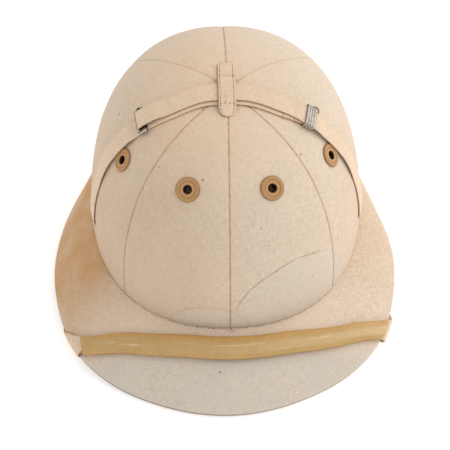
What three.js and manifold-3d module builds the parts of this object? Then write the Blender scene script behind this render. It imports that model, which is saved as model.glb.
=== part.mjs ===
// Polo helmet: a moulded dome covered with six canvas gores, a canvas brim with a long peak, four eyelet
// vents, one webbing strap, two metal slides, a keeper tab on top and a leather chin guard.
// Millimetres, +Z up, the peak towards -Y, +X on the right of someone who faces the peak.
// The shapes are worked out in the shell's own frame, where the foot of the crown is level at z = 0. The
// whole shell then leans forward until the edge of its brim is level, and stands on the plane z = 0.

import * as THREE from 'three';
import { mergeVertices } from 'three/addons/utils/BufferGeometryUtils.js';
import Module from 'manifold-3d';

const { clamp, degToRad, euclideanModulo, lerp, radToDeg, smoothstep } = THREE.MathUtils;
const wasm = await Module();
wasm.setup();

// Clearance that neighbouring pieces keep
const FIT_GAP = 0.3;

// Outer face of the crown, and the thickness of its covered wall
const CROWN = {
  halfWidth: 98.7,
  frontLength: 113.6,
  backLength: 120,
  height: 122.4,
  planPower: 2.25,
  risePower: 2.35,
  wall: 6,
  tipRadius: 1.8,
  rows: 12,
};

// Seams of the right half: angle of the foot in degrees from the centre of the front, and bow in degrees
// half way to the top. All six seams meet at the pole, a little to the right of the axis.
const SEAMS = {
  frontCentre: { foot: 0, bow: 0 },
  frontSide: { foot: 42, bow: 3.4 },
  backSide: { foot: 139, bow: -8 },
  backCentre: { foot: 180, bow: 0 },
};
const POLE_X = 1.5;
const GORES = [
  { name: 'front', from: SEAMS.frontCentre, to: SEAMS.frontSide, columns: 7 },
  { name: 'side', from: SEAMS.frontSide, to: SEAMS.backSide, columns: 12 },
  { name: 'back', from: SEAMS.backSide, to: SEAMS.backCentre, columns: 8 },
];

// Level surface under the brim, seen from the shell: its depth below the crown's axis, and its slope
const FLOOR = { depth: 37.8, slope: degToRad(5) };

// Brim: thickness at the crown, how far its middle line starts inside the crown's foot, height of its inner
// edge, step of its top beyond the foot, radius of its rolled edge, half width of the flat under the edge,
// upward swell of its section, and how far its sides stand off the surface that it rests on
const BRIM = {
  thickness: 6,
  rootInset: 1.2,
  innerHeight: 4.8,
  footStep: 0.2,
  edgeRadius: 2.3,
  landHalfWidth: 0.9,
  swell: 2,
  sideRise: 5,
  segments: 76,
};

// Shares of the brim's width at which its section has a point, on top and below
const BRIM_SHARES = [0.08, 0.35, 0.65, 0.93];

// Reach of the brim beyond the crown's foot on each side, at equal steps of angle from the front to the back.
// The brim was cut and worn a little unevenly.
const BRIM_REACH = [
  { angle: 0, left: 57.1, right: 57.1 },
  { angle: 20, left: 54.1, right: 52.2 },
  { angle: 40, left: 51.2, right: 47.8 },
  { angle: 60, left: 39.9, right: 35.5 },
  { angle: 80, left: 30.1, right: 26.5 },
  { angle: 100, left: 21, right: 16.8 },
  { angle: 120, left: 6.5, right: 5 },
  { angle: 140, left: 15.5, right: 15 },
  { angle: 160, left: 24, right: 24 },
  { angle: 180, left: 29, right: 29 },
];
const REACH_STEP = BRIM_REACH[1].angle;

// The sides rise off the surface between these angles from the front
const SIDE_RISE = { start: 22, full: 45, ease: 60, end: 100 };

// Eyelet vents at their place seen from above: distance to each side of a middle, and the middle
const EYELETS = [
  { name: 'front', apart: 27.7, middle: 1, y: -68.5 },
  { name: 'side', apart: 70.4, middle: 0, y: -33.2 },
];
const EYELET = {
  boreRadius: 2.85,
  barrelRadius: 3.9,
  barrelDepth: 7,
  holeRadius: 4.3,
  drillLength: 24,
  flangeRadius: 8.35,
  seatGap: 0.45,
  seatCurvature: 100,
  sides: 16,
};

// Face of an eyelet from its rim to its bore: a sloping border, a turned groove and a raised inner ring
const EYELET_FACE = [
  { radius: 8.1, height: 0.7 },
  { radius: 6.8, height: 1.15 },
  { radius: 5.6, height: 1.15 },
  { radius: 5.3, height: 0.95 },
  { radius: 5.0, height: 1.15 },
  { radius: 3.6, height: 1.3 },
  { radius: EYELET.boreRadius, height: 1.0 },
];

// Webbing: one tape that starts at the left slide, crosses the crown as the upper layer, goes in through a
// slit in the right side of the crown, out under the brim, round its edge and over the peak, and comes back
// the same way on the left to cross the crown again as the lower layer and end at the right slide
const TAPE = { width: 15, thickness: 1.3, footY: -43, topY: -8, upperShift: 2.5 };
const DOUBLED_END = 28.3;

// The tape sways forward from its plane beside the keeper tab and back again on its way to the slits. The
// upper layer comes in line with the lower one on its way to the right slide.
const SWAY = [
  { angle: 0, forward: -1 },
  { angle: 4, forward: -1 },
  { angle: 19, forward: 3.6 },
  { angle: 30, forward: 3.4 },
  { angle: 78, forward: -6 },
];
const IN_LINE = { start: 18.5, end: 25.5 };

// It goes through the wall between these angles from the top of its plane, and turns under the brim below
// the end angle
const SLIT = { start: 74, inside: 83, end: 92, clearance: 0.4, bend: 8 };
const SKIN_LIFT = 0.45;
const INSIDE_LIFT = -(CROWN.wall + SKIN_LIFT + TAPE.thickness);

// Height of the tape over the crown at angles in degrees from the top of its plane, right positive
const UPPER_LIFT = [
  { angle: -DOUBLED_END, lift: 3.25 },
  { angle: -23, lift: 3.25 },
  { angle: -17, lift: 1.95 },
  { angle: 20, lift: 1.95 },
  { angle: 23.5, lift: 2.95 },
  { angle: 29, lift: 2.95 },
  { angle: 33.5, lift: 1.85 },
  { angle: 44, lift: 1.85 },
  { angle: 58, lift: SKIN_LIFT },
  { angle: SLIT.start, lift: SKIN_LIFT },
  { angle: SLIT.inside, lift: INSIDE_LIFT },
];
const LOWER_LIFT = [
  { angle: -SLIT.inside, lift: INSIDE_LIFT },
  { angle: -SLIT.start, lift: SKIN_LIFT },
  { angle: -58, lift: SKIN_LIFT },
  { angle: -44, lift: 1.85 },
  { angle: -33.5, lift: 1.85 },
  { angle: -29.5, lift: 0.35 },
  { angle: 20, lift: 0.35 },
  { angle: 23.5, lift: 1.35 },
  { angle: DOUBLED_END, lift: 1.35 },
];

// Route of the tape on the brim, from the right slit to the left one: angle in degrees from the front, and
// distance from the tip of the edge, positive on top of the brim and negative under it
const BRIM_ROUTE = [
  { angle: 67.5, edge: -30 },
  { angle: 62.5, edge: -21 },
  { angle: 54, edge: -10 },
  { angle: 48.3, edge: 0 },
  { angle: 44.5, edge: 6 },
  { angle: 36.2, edge: 22.4 },
  { angle: 21.5, edge: 39 },
  { angle: 5, edge: 46.4 },
  { angle: -12.2, edge: 45.7 },
  { angle: -26.8, edge: 35.9 },
  { angle: -34, edge: 25.9 },
  { angle: -40, edge: 12.2 },
  { angle: -46.8, edge: 0 },
  { angle: -53, edge: -10 },
  { angle: -60.5, edge: -21 },
  { angle: -66.5, edge: -30 },
];
const ROUTE_MM_PER_DEGREE = 2.6;

// Steps of the tape over the crown, in each bend and in each slit
const CROWN_STEPS = 42;
const BEND_STEPS = 8;
const SLIT_STEPS = 8;

// Distance between stations of the tape near the brim's edge and elsewhere, how near the edge rows of the
// tape run along it, how far they still lean that way, the tape's height over the bare brim, and where it
// rises to the chin guard, which draws it in to a share of its width
const ROUTE = {
  fineStep: 2.2,
  coarseStep: 8,
  edgeZone: 9,
  leanZone: 30,
  lift: 0.5,
  rampStart: -4,
  rampEnd: 2,
  drawnIn: 0.84,
};

// Leather chin guard: a flat sleeve round the tape on the peak, narrower towards its ends, which stop short
// of the brim's edge. The lean of an end is 0 where it is cut squarely and 1 where it runs along the edge.
const GUARD = {
  left: { clearance: 7.4, lean: 0.27 },
  right: { clearance: 2.8, lean: 0.7 },
  halfWidth: 8.9,
  endHalfWidth: 7.3,
  endZone: 14,
  fullZone: 36,
  halfHeight: 2.6,
  seat: 0.4,
  tunnelHalfWidth: 6.8,
  tunnelHalfHeight: 1.35,
  outerPower: 2.6,
  tunnelPower: 6,
  sides: 12,
};

// Keeper tab: a canvas strip along the top of the crown, sewn down before and behind the webbing
const TAB = {
  x: 0.8,
  width: 12,
  thickness: 1,
  back: 24,
  front: -23.5,
  tipLength: 6,
  tipShare: 0.25,
  steps: 20,
};
const TAB_LIFT = [
  { y: -23.5, lift: 0.35 },
  { y: -21.5, lift: 0.35 },
  { y: -13.5, lift: 3.7 },
  { y: 4.5, lift: 3.7 },
  { y: 11.5, lift: 0.35 },
  { y: 24, lift: 0.35 },
];

// Right slide: a ribbed plate folded round both layers, at an angle from the top of the tape's plane and a
// distance forward from that plane
const RIGHT_SLIDE = {
  angle: 26.3,
  forward: 3.4,
  length: 7.6,
  back: -8.8,
  front: 8.8,
  sheet: 0.7,
  top: 5.35,
  foot: 0.15,
  footReach: 4,
  ribs: 4,
  ribWidth: 0.9,
  ribHeight: 0.35,
};

// Left slide: a flat bar between the layers, rolled up at its front end and lipped at its back end
const LEFT_SLIDE = {
  angle: -26.8,
  forward: 2.3,
  length: 6.6,
  back: -10.9,
  front: 10,
  sheet: 0.65,
  seat: 1.98,
  rollRadius: 1.3,
  rollSides: 12,
  lipHeight: 1.6,
};

const CANVAS = { color: 0xd6bfa6, roughness: 0.95, metalness: 0 };
const WEBBING = { color: 0xdcc0a0, roughness: 0.95, metalness: 0 };
const LEATHER = { color: 0xb88f58, roughness: 0.5, metalness: 0 };
const WOOD = { color: 0xb5875a, roughness: 0.6, metalness: 0 };
const NICKEL = { color: 0x9a9187, roughness: 0.4, metalness: 1 };

// Value of a column at a place in a table, eased between its rows
function fromTable(table, key, column, place) {
  if (place <= table[0][key]) return table[0][column];
  for (let row = 1; row < table.length; row += 1) {
    const before = table[row - 1];
    const after = table[row];
    if (place <= after[key]) {
      return lerp(before[column], after[column], smoothstep(place, before[key], after[key]));
    }
  }
  return table[table.length - 1][column];
}

// Level of the crown's plan at a point: 0 on the axis, 1 on the foot of the crown
function planLevel(x, y) {
  const length = y < 0 ? CROWN.frontLength : CROWN.backLength;
  const sum = (Math.abs(x) / CROWN.halfWidth) ** CROWN.planPower + (Math.abs(y) / length) ** CROWN.planPower;
  return sum ** (1 / CROWN.planPower);
}

function crownLevel(point) {
  const rise = Math.abs(point.z) / CROWN.height;
  return planLevel(point.x, point.y) ** CROWN.risePower + rise ** CROWN.risePower;
}

function crownNormal(point) {
  const step = 0.01;
  const slope = (axis) => {
    const ahead = point.clone();
    const behind = point.clone();
    ahead[axis] += step;
    behind[axis] -= step;
    return crownLevel(ahead) - crownLevel(behind);
  };
  return new THREE.Vector3(slope('x'), slope('y'), slope('z')).normalize();
}

const crownHeightAt = (x, y) =>
  CROWN.height * Math.max(0, 1 - planLevel(x, y) ** CROWN.risePower) ** (1 / CROWN.risePower);

// Point where a ray that starts inside the crown meets its outer face
function crownAlong(origin, direction) {
  const halvings = 40;
  let near = 0;
  let far = 3 * CROWN.height;
  for (let pass = 0; pass < halvings; pass += 1) {
    const middle = (near + far) / 2;
    const inside = crownLevel(origin.clone().addScaledVector(direction, middle)) < 1;
    if (inside) near = middle;
    else far = middle;
  }
  return origin.clone().addScaledVector(direction, near);
}

// Distance from the axis to the foot of the crown, at an angle in degrees from the front
function footRadius(angle) {
  const turn = degToRad(angle);
  return 1 / planLevel(Math.sin(turn), -Math.cos(turn));
}

// Box whose unit coordinates a function bends into place
function bentBox([across, along, through], place) {
  const box = new THREE.BoxGeometry(1, 1, 1, across, along, through);
  box.deleteAttribute('normal');
  box.deleteAttribute('uv');
  const position = box.attributes.position;
  for (let index = 0; index < position.count; index += 1) {
    const [x, y, z] = [position.getX(index), position.getY(index), position.getZ(index)];
    const point = place(x + 0.5, y + 0.5, z + 0.5);
    position.setXYZ(index, point.x, point.y, point.z);
  }
  return mergeVertices(box);
}

// Ring whose section, a closed run of points counted anticlockwise, a function gives at each turn
function bentRing(segments, sectionCount, place) {
  const outline = Array.from({ length: sectionCount + 1 }, (_, index) => new THREE.Vector2(1, index));
  const ring = new THREE.LatheGeometry(outline, segments);
  ring.deleteAttribute('normal');
  ring.deleteAttribute('uv');
  const position = ring.attributes.position;
  for (let index = 0; index < position.count; index += 1) {
    const turn = (Math.floor(index / outline.length) % segments) / segments;
    const point = place(turn, (index % outline.length) % sectionCount);
    position.setXYZ(index, point.x, point.y, point.z);
  }
  return mergeVertices(ring);
}

function toSolid(geometry) {
  const bare = geometry.clone();
  bare.deleteAttribute('normal');
  bare.deleteAttribute('uv');
  const merged = mergeVertices(bare);
  const vertProperties = new Float32Array(merged.attributes.position.array);
  const triVerts = new Uint32Array(merged.index.array);
  return new wasm.Manifold(new wasm.Mesh({ numProp: 3, vertProperties, triVerts }));
}

function toGeometry(solid) {
  const mesh = solid.getMesh();
  const geometry = new THREE.BufferGeometry();
  geometry.setAttribute('position', new THREE.BufferAttribute(mesh.vertProperties, mesh.numProp));
  geometry.setIndex(new THREE.BufferAttribute(mesh.triVerts, 1));
  return geometry;
}

// Crown: each gore is a curved wedge from the foot of the crown to its tip
function gorePoint(gore, across, up, outward) {
  const middle = footRadius(lerp(gore.from.foot, gore.to.foot, across));
  const lastTurn = Math.acos((CROWN.tipRadius / middle) ** (CROWN.risePower / 2));
  const turn = lastTurn * up;
  const shrink = Math.cos(turn) ** (2 / CROWN.risePower);
  const seam = radToDeg(FIT_GAP / 2 / (middle * shrink));
  const seamAngle = ({ foot, bow }) => foot + bow * 4 * shrink * (1 - shrink);
  const angle = lerp(seamAngle(gore.from) + seam, seamAngle(gore.to) - seam, across);
  const heading = degToRad(angle);
  const radius = footRadius(angle) * shrink;
  const x = radius * Math.sin(heading) + POLE_X * (1 - shrink);
  const y = -radius * Math.cos(heading);
  const point = new THREE.Vector3(x, y, crownHeightAt(x, y));
  return point.addScaledVector(crownNormal(point), -CROWN.wall * (1 - outward));
}

function eyeletSeat(eyelet, side) {
  const x = eyelet.middle + side * eyelet.apart;
  const point = new THREE.Vector3(x, eyelet.y, crownHeightAt(x, eyelet.y));
  const turn = new THREE.Quaternion().setFromUnitVectors(new THREE.Vector3(0, 1, 0), crownNormal(point));
  return { point, turn };
}

function eyeletDrill(eyelet, side) {
  const seat = eyeletSeat(eyelet, side);
  const { holeRadius, drillLength, sides } = EYELET;
  const drill = new THREE.CylinderGeometry(holeRadius, holeRadius, drillLength, sides);
  return drill.applyQuaternion(seat.turn).translate(seat.point.x, seat.point.y, seat.point.z);
}

function goreGeometry(gore, side, cutters) {
  const mirrored = ({ foot, bow }) => ({ foot: -foot, bow: -bow });
  const bounds = side > 0 ? gore : { from: mirrored(gore.to), to: mirrored(gore.from) };
  const wedge = bentBox([gore.columns, CROWN.rows, 1], (x, y, z) => gorePoint(bounds, x, y, z));
  return toGeometry(cutters.reduce((solid, cutter) => solid.subtract(toSolid(cutter)), toSolid(wedge)));
}

// Eyelet: a turned flange with two rings on its face, on a barrel through the wall
function eyeletGeometry() {
  const seatHeight = (radius) => EYELET.seatGap - radius ** 2 / (2 * EYELET.seatCurvature);
  const bottom = -EYELET.barrelDepth;
  const profile = [
    { radius: EYELET.boreRadius, height: bottom },
    { radius: EYELET.barrelRadius, height: bottom },
    { radius: EYELET.barrelRadius, height: seatHeight(EYELET.barrelRadius) },
    { radius: EYELET.flangeRadius, height: seatHeight(EYELET.flangeRadius) },
    ...EYELET_FACE,
    { radius: EYELET.boreRadius, height: bottom },
  ];
  return new THREE.LatheGeometry(
    profile.map(({ radius, height }) => new THREE.Vector2(radius, height)),
    EYELET.sides,
  );
}

// Brim: values of its section at an angle from the front, as distances from the axis and heights
function reachAt(angle) {
  const last = BRIM_REACH.length - 1;
  const place = angle / REACH_STEP;
  const row = Math.floor(place);
  const reach = (index) => {
    const around = euclideanModulo(index + last, 2 * last) - last;
    return BRIM_REACH[Math.abs(around)][around < 0 ? 'left' : 'right'];
  };
  const share = place - row;
  const leave = (reach(row + 1) - reach(row - 1)) / 2;
  const arrive = (reach(row + 2) - reach(row)) / 2;
  const change = reach(row + 1) - reach(row);
  const curve = (3 * change - 2 * leave - arrive) * share ** 2 + (leave + arrive - 2 * change) * share ** 3;
  return reach(row) + leave * share + curve;
}

function floorHeight(radius, angle) {
  return Math.tan(FLOOR.slope) * radius * Math.cos(degToRad(angle)) - FLOOR.depth;
}

function brimSection(angle) {
  const turned = Math.abs(euclideanModulo(angle + 180, 360) - 180);
  const foot = footRadius(turned);
  const rising = smoothstep(turned, SIDE_RISE.start, SIDE_RISE.full);
  const easing = 1 - smoothstep(turned, SIDE_RISE.ease, SIDE_RISE.end);
  const underEdge = (radius) => floorHeight(radius, turned) + BRIM.sideRise * rising * easing;
  const middle = foot + reachAt(angle) - BRIM.edgeRadius;
  const start = new THREE.Vector2(foot - BRIM.rootInset, -FIT_GAP - BRIM.thickness / 2);
  const centre = new THREE.Vector2(middle, underEdge(middle) + BRIM.edgeRadius);
  const land = [-BRIM.landHalfWidth, BRIM.landHalfWidth].map(
    (offset) => new THREE.Vector2(middle + offset, underEdge(middle + offset)),
  );
  const run = centre.clone().sub(start);
  const length = run.length();
  const along = run.divideScalar(length);
  const normal = new THREE.Vector2(-along.y, along.x);
  return { foot, start, centre, land, along, normal, length };
}

// Point of the section at a share of its length, at a height over its upper (1) or lower (-1) face
function brimFace(section, share, face, lift) {
  const thickness = lerp(BRIM.thickness, 2 * BRIM.edgeRadius, share);
  const swell = BRIM.swell * 4 * share * (1 - share);
  return section.start
    .clone()
    .addScaledVector(section.along, section.length * share)
    .addScaledVector(section.normal, swell + face * (thickness / 2 + lift));
}

function brimOutline(angle) {
  const section = brimSection(angle);
  const { foot, centre, land } = section;
  const offset = (x, y) => centre.clone().add(new THREE.Vector2(x, y));
  const radius = BRIM.edgeRadius;
  const inner = foot - CROWN.wall;
  return [
    new THREE.Vector2(inner, -FIT_GAP - BRIM.innerHeight),
    ...BRIM_SHARES.map((share) => brimFace(section, share, -1, 0)),
    ...land,
    offset(radius, 0),
    offset(radius * Math.SQRT1_2, radius * Math.SQRT1_2),
    ...BRIM_SHARES.toReversed().map((share) => brimFace(section, share, 1, 0)),
    new THREE.Vector2(foot + BRIM.footStep, -FIT_GAP),
    new THREE.Vector2(inner, -FIT_GAP),
  ];
}

function onTurn(angle, flat) {
  const heading = degToRad(angle);
  return new THREE.Vector3(flat.x * Math.sin(heading), -flat.x * Math.cos(heading), flat.y);
}

// Point over the brim's skin at an angle from the front and a distance from the tip of the edge
function brimSkin(angle, edge, lift) {
  const section = brimSection(angle);
  const quarter = (Math.PI * BRIM.edgeRadius) / 2;
  if (Math.abs(edge) < quarter) {
    const turn = edge / BRIM.edgeRadius;
    const reach = BRIM.edgeRadius + lift;
    const flat = section.centre
      .clone()
      .addScaledVector(section.along, reach * Math.cos(turn))
      .addScaledVector(section.normal, reach * Math.sin(turn));
    return onTurn(angle, flat);
  }
  const share = 1 - (Math.abs(edge) - quarter) / section.length;
  return onTurn(angle, brimFace(section, share, Math.sign(edge), lift));
}

function brimGeometry() {
  const { segments } = BRIM;
  const outlines = Array.from({ length: segments }, (_, index) => brimOutline((360 * index) / segments));
  return bentRing(segments, outlines[0].length, (turn, point) =>
    onTurn(360 * turn, outlines[Math.round(turn * segments)][point]),
  );
}

// Webbing on the crown: the tape lies in a plane that leans back from its foot to the top
const TAPE_UP = new THREE.Vector3(0, TAPE.topY - TAPE.footY, CROWN.height).normalize();
const TAPE_BACK = new THREE.Vector3(0, TAPE_UP.z, -TAPE_UP.y);
const TAPE_FOOT = new THREE.Vector3(0, TAPE.footY, 0);

function overCrown(angle, forward, lift) {
  const turn = degToRad(angle);
  const origin = TAPE_FOOT.clone().addScaledVector(TAPE_BACK, -forward);
  const direction = new THREE.Vector3(Math.sin(turn), 0, 0).addScaledVector(TAPE_UP, Math.cos(turn));
  const point = crownAlong(origin, direction);
  return point.addScaledVector(crownNormal(point), lift);
}

// A station of the tape places a point that lies so far to the side of its middle and over its lower face
function crownStation(angle, lifts, layerShift) {
  const lift = fromTable(lifts, 'angle', 'lift', angle);
  const shift = layerShift - fromTable(SWAY, 'angle', 'forward', Math.abs(angle));
  const middle = overCrown(angle, -shift, 0);
  return (side, height) => {
    const spread = side === 0 ? 1 : Math.abs(side) / middle.distanceTo(overCrown(angle, side - shift, 0));
    return overCrown(angle, side * spread - shift, lift + height);
  };
}

// Places along the route on the brim, close together where the tape goes round the edge
function routePlaces() {
  const knots = BRIM_ROUTE.map(({ angle, edge }) => new THREE.Vector2(angle * ROUTE_MM_PER_DEGREE, edge));
  const route = new THREE.SplineCurve(knots);
  const length = route.getLength();
  const places = [];
  for (let along = 0; along < length; ) {
    const point = route.getPointAt(along / length);
    places.push({ point, heading: route.getTangentAt(along / length) });
    along += Math.abs(point.y) < ROUTE.edgeZone ? ROUTE.fineStep : ROUTE.coarseStep;
  }
  places.push({ point: route.getPointAt(1), heading: route.getTangentAt(1) });
  return places;
}

// Stations along the route, which place points to the side of it and over the brim. A row of points crosses
// the route squarely, but leans near the edge until it runs along the edge.
const guardEnd = (angle) => (angle > 0 ? GUARD.right : GUARD.left);

function brimStations() {
  const step = 0.05;
  return routePlaces().map(({ point, heading }) => {
    const angle = point.x / ROUTE_MM_PER_DEGREE;
    const edge = point.y;
    const mmPerDegree = brimSkin(angle, edge, 0).distanceTo(brimSkin(angle + step, edge, 0)) / step;
    const along = new THREE.Vector2((heading.x / ROUTE_MM_PER_DEGREE) * mmPerDegree, heading.y).normalize();
    const nearEdge = 1 - smoothstep(Math.abs(edge), ROUTE.edgeZone, ROUTE.leanZone);
    const { lean, clearance } = guardEnd(angle);
    const leanShare = nearEdge * lerp(1, lean, smoothstep(edge, 0, clearance));
    const toEdge = leanShare > 0 ? (-along.x / along.y) * leanShare : 0;
    const row = new THREE.Vector2(-along.y, along.x).addScaledVector(along, toEdge);
    const place = (side, lift) => brimSkin(angle + (row.x * side) / mmPerDegree, edge + row.y * side, lift);
    return { angle, edge, place };
  });
}

// Height of the tape over the brim: it rises from the edge to run through the middle of the chin guard
function brimLift(edge) {
  const inside = GUARD.seat + GUARD.halfHeight - TAPE.thickness / 2;
  return lerp(ROUTE.lift, inside, smoothstep(edge, ROUTE.rampStart, ROUTE.rampEnd));
}

// Share of its width that the tape keeps on the brim
function drawnShare(edge) {
  return lerp(1, ROUTE.drawnIn, smoothstep(edge, 2 * ROUTE.rampStart, ROUTE.rampEnd));
}

// Stations that carry the tape on in a smooth bend between two others, each given with a direction
function bendStations(from, fromBehind, to, toAhead, shares) {
  return shares.map((share) => (side, height) => {
    const start = from(side, height);
    const end = to(side, height);
    const leave = start.clone().sub(fromBehind(side, height)).setLength(SLIT.bend);
    const arrive = toAhead(side, height).sub(end).setLength(SLIT.bend);
    const bend = new THREE.CubicBezierCurve3(start, start.clone().add(leave), end.clone().sub(arrive), end);
    return bend.getPoint(share);
  });
}

function range(from, to, steps) {
  return Array.from({ length: steps + 1 }, (_, index) => lerp(from, to, index / steps));
}

function tapeStations() {
  const onBrim = brimStations().map(({ edge, place }) => (side, height) =>
    place(side * drawnShare(edge), brimLift(edge) + TAPE.thickness - height),
  );
  const layerShift = (angle) => TAPE.upperShift * (1 - smoothstep(angle, IN_LINE.start, IN_LINE.end));
  const upper = (angle) => crownStation(angle, UPPER_LIFT, layerShift(angle));
  const lower = (angle) => crownStation(angle, LOWER_LIFT, 0);
  const shares = range(0, 1, BEND_STEPS).slice(1, -1);
  const last = onBrim.length - 1;
  const intoRight = [upper(SLIT.end), upper(SLIT.end - 1)];
  const intoLeft = [lower(-SLIT.end), lower(1 - SLIT.end)];
  const all = [
    ...range(-DOUBLED_END, SLIT.end, CROWN_STEPS).map(upper),
    ...bendStations(...intoRight, onBrim[0], onBrim[1], shares),
    ...onBrim,
    ...bendStations(onBrim[last], onBrim[last - 1], ...intoLeft, shares),
    ...range(-SLIT.end, DOUBLED_END, CROWN_STEPS).map(lower),
  ];
  const inWall = range(SLIT.start, SLIT.end, SLIT_STEPS);
  const slits = { left: inWall.map((angle) => lower(-angle)).reverse(), right: inWall.map(upper) };
  return { all, slits };
}

// Flat strip through stations, with a margin all round its section
function ribbon(stations, margin) {
  const width = TAPE.width + 2 * margin;
  const thickness = TAPE.thickness + 2 * margin;
  return bentBox([2, stations.length - 1, 1], (x, y, z) => {
    const station = stations[Math.round(y * (stations.length - 1))];
    return station((x - 0.5) * width, z * thickness - margin);
  });
}

// Chin guard: a rounded outer skin and a flat tunnel for the tape, joined at both ends
function guardGeometry() {
  const stations = brimStations().filter(({ angle, edge }) => edge > guardEnd(angle).clearance);
  const middle = GUARD.seat + GUARD.halfHeight;
  const count = stations.length;
  const oval = (turn, halfWidth, halfHeight, power) => {
    const bulge = (value) => Math.sign(value) * Math.abs(value) ** (2 / power);
    return [-halfWidth * bulge(Math.sin(turn)), middle + halfHeight * bulge(Math.cos(turn))];
  };
  return bentRing(GUARD.sides, 2 * count, (turn, index) => {
    const outside = index < count;
    const station = stations[outside ? index : 2 * count - 1 - index];
    const angle = 2 * Math.PI * turn;
    const inner = smoothstep(station.edge, GUARD.endZone, GUARD.fullZone);
    const [side, lift] = outside
      ? oval(angle, lerp(GUARD.endHalfWidth, GUARD.halfWidth, inner), GUARD.halfHeight, GUARD.outerPower)
      : oval(angle, GUARD.tunnelHalfWidth, GUARD.tunnelHalfHeight, GUARD.tunnelPower);
    return station.place(side, lift);
  });
}

// Keeper tab: a strip along the top with a pointed front end
function tabGeometry() {
  return bentBox([2, TAB.steps, 1], (x, y, z) => {
    const along = lerp(TAB.back, TAB.front, 1 - y);
    const toTip = clamp((along - TAB.front) / TAB.tipLength, 0, 1);
    const width = TAB.width * lerp(TAB.tipShare, 1, Math.sqrt(toTip * (2 - toTip)));
    const across = TAB.x + (x - 0.5) * width;
    const point = new THREE.Vector3(across, along, crownHeightAt(across, along));
    const lift = fromTable(TAB_LIFT, 'y', 'lift', along) + z * TAB.thickness;
    return point.addScaledVector(crownNormal(point), lift);
  });
}

// Frame of a slide on the crown: x along the tape to the right, y across it to the back, z outwards
function slideFrame({ angle, forward }) {
  const origin = overCrown(angle, forward, 0);
  const outward = crownNormal(origin);
  const along = overCrown(angle + 1, forward, 0).sub(overCrown(angle - 1, forward, 0));
  const backward = new THREE.Vector3().crossVectors(outward, along).normalize();
  along.crossVectors(backward, outward);
  return new THREE.Matrix4().makeBasis(along, backward, outward).setPosition(origin);
}

function boxAt(sizeX, sizeY, sizeZ, x, y, z) {
  return toSolid(new THREE.BoxGeometry(sizeX, sizeY, sizeZ).translate(x, y, z));
}

function rightSlideGeometry() {
  const { length, back, front, sheet, top, foot, footReach, ribs, ribWidth, ribHeight } = RIGHT_SLIDE;
  const width = front - back;
  const middle = (front + back) / 2;
  const legHeight = top - foot;
  let solid = boxAt(length, width, sheet, 0, -middle, top - sheet / 2);
  [back + sheet / 2, front - sheet / 2].forEach((across) => {
    solid = solid.add(boxAt(length, sheet, legHeight, 0, -across, foot + legHeight / 2));
  });
  [back + footReach / 2, front - footReach / 2].forEach((across) => {
    solid = solid.add(boxAt(length, footReach, sheet, 0, -across, foot + sheet / 2));
  });
  for (let rib = 0; rib < ribs; rib += 1) {
    const along = ((rib + 0.5) / ribs - 0.5) * length;
    solid = solid.add(boxAt(ribWidth, width, 2 * ribHeight, along, -middle, top));
  }
  return toGeometry(solid).applyMatrix4(slideFrame(RIGHT_SLIDE));
}

function leftSlideGeometry() {
  const { length, back, front, sheet, seat, rollRadius, rollSides, lipHeight } = LEFT_SLIDE;
  const middle = (front + back) / 2;
  const roll = new THREE.CylinderGeometry(rollRadius, rollRadius, length, rollSides).rotateZ(Math.PI / 2);
  roll.translate(0, -front, seat + rollRadius);
  const solid = boxAt(length, front - back, sheet, 0, -middle, seat + sheet / 2)
    .add(toSolid(roll))
    .add(boxAt(length, sheet, lipHeight, 0, -back - sheet / 2, seat + lipHeight / 2));
  return toGeometry(solid).applyMatrix4(slideFrame(LEFT_SLIDE));
}

// Assembly in the shell's frame
const shell = new THREE.Group();

function addPiece(name, geometry, finish) {
  const piece = new THREE.Mesh(geometry, new THREE.MeshStandardMaterial(finish));
  piece.name = name;
  shell.add(piece);
  return piece;
}

const SIDES = [
  { name: 'left', sign: -1 },
  { name: 'right', sign: 1 },
];
const tape = tapeStations();

GORES.forEach((gore) => {
  SIDES.forEach((side) => {
    const vents = EYELETS.filter(({ name }) => name === gore.name);
    const cutters = vents.map((vent) => eyeletDrill(vent, side.sign));
    if (gore.name === 'side') cutters.push(ribbon(tape.slits[side.name], SLIT.clearance));
    addPiece(`crown_gore_${gore.name}_${side.name}`, goreGeometry(gore, side.sign, cutters), CANVAS);
  });
});
addPiece('brim', brimGeometry(), CANVAS);
EYELETS.forEach((eyelet) => {
  SIDES.forEach((side) => {
    const seat = eyeletSeat(eyelet, side.sign);
    const piece = addPiece(`eyelet_${eyelet.name}_${side.name}`, eyeletGeometry(), WOOD);
    piece.position.copy(seat.point);
    piece.quaternion.copy(seat.turn);
  });
});
addPiece('webbing_strap', ribbon(tape.all, 0), WEBBING);
addPiece('slide_right', rightSlideGeometry(), NICKEL);
addPiece('slide_left', leftSlideGeometry(), NICKEL);
addPiece('keeper_tab', tabGeometry(), CANVAS);
addPiece('chin_guard', guardGeometry(), LEATHER);

// Lean the shell until the brim's edge is level, then stand it on z = 0 over the origin
const helmet = new THREE.Group();
helmet.add(shell);
shell.rotation.x = FLOOR.slope;
helmet.updateMatrixWorld(true);
const bounds = new THREE.Box3().setFromObject(helmet, true);
const middle = bounds.getCenter(new THREE.Vector3());
shell.position.set(-middle.x, -middle.y, -bounds.min.z);
helmet.updateMatrixWorld(true);

export default helmet;
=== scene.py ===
"""Polo helmet: canvas gores and brim, wooden vents, a webbing strap, metal slides and a leather chin guard.

Shapes are worked out in metres in the shell's own frame, where the foot of the crown is level at z = 0 and
the peak points along -Y. The shell then leans forward until the edge of its brim is level on the surface.
"""

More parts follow.
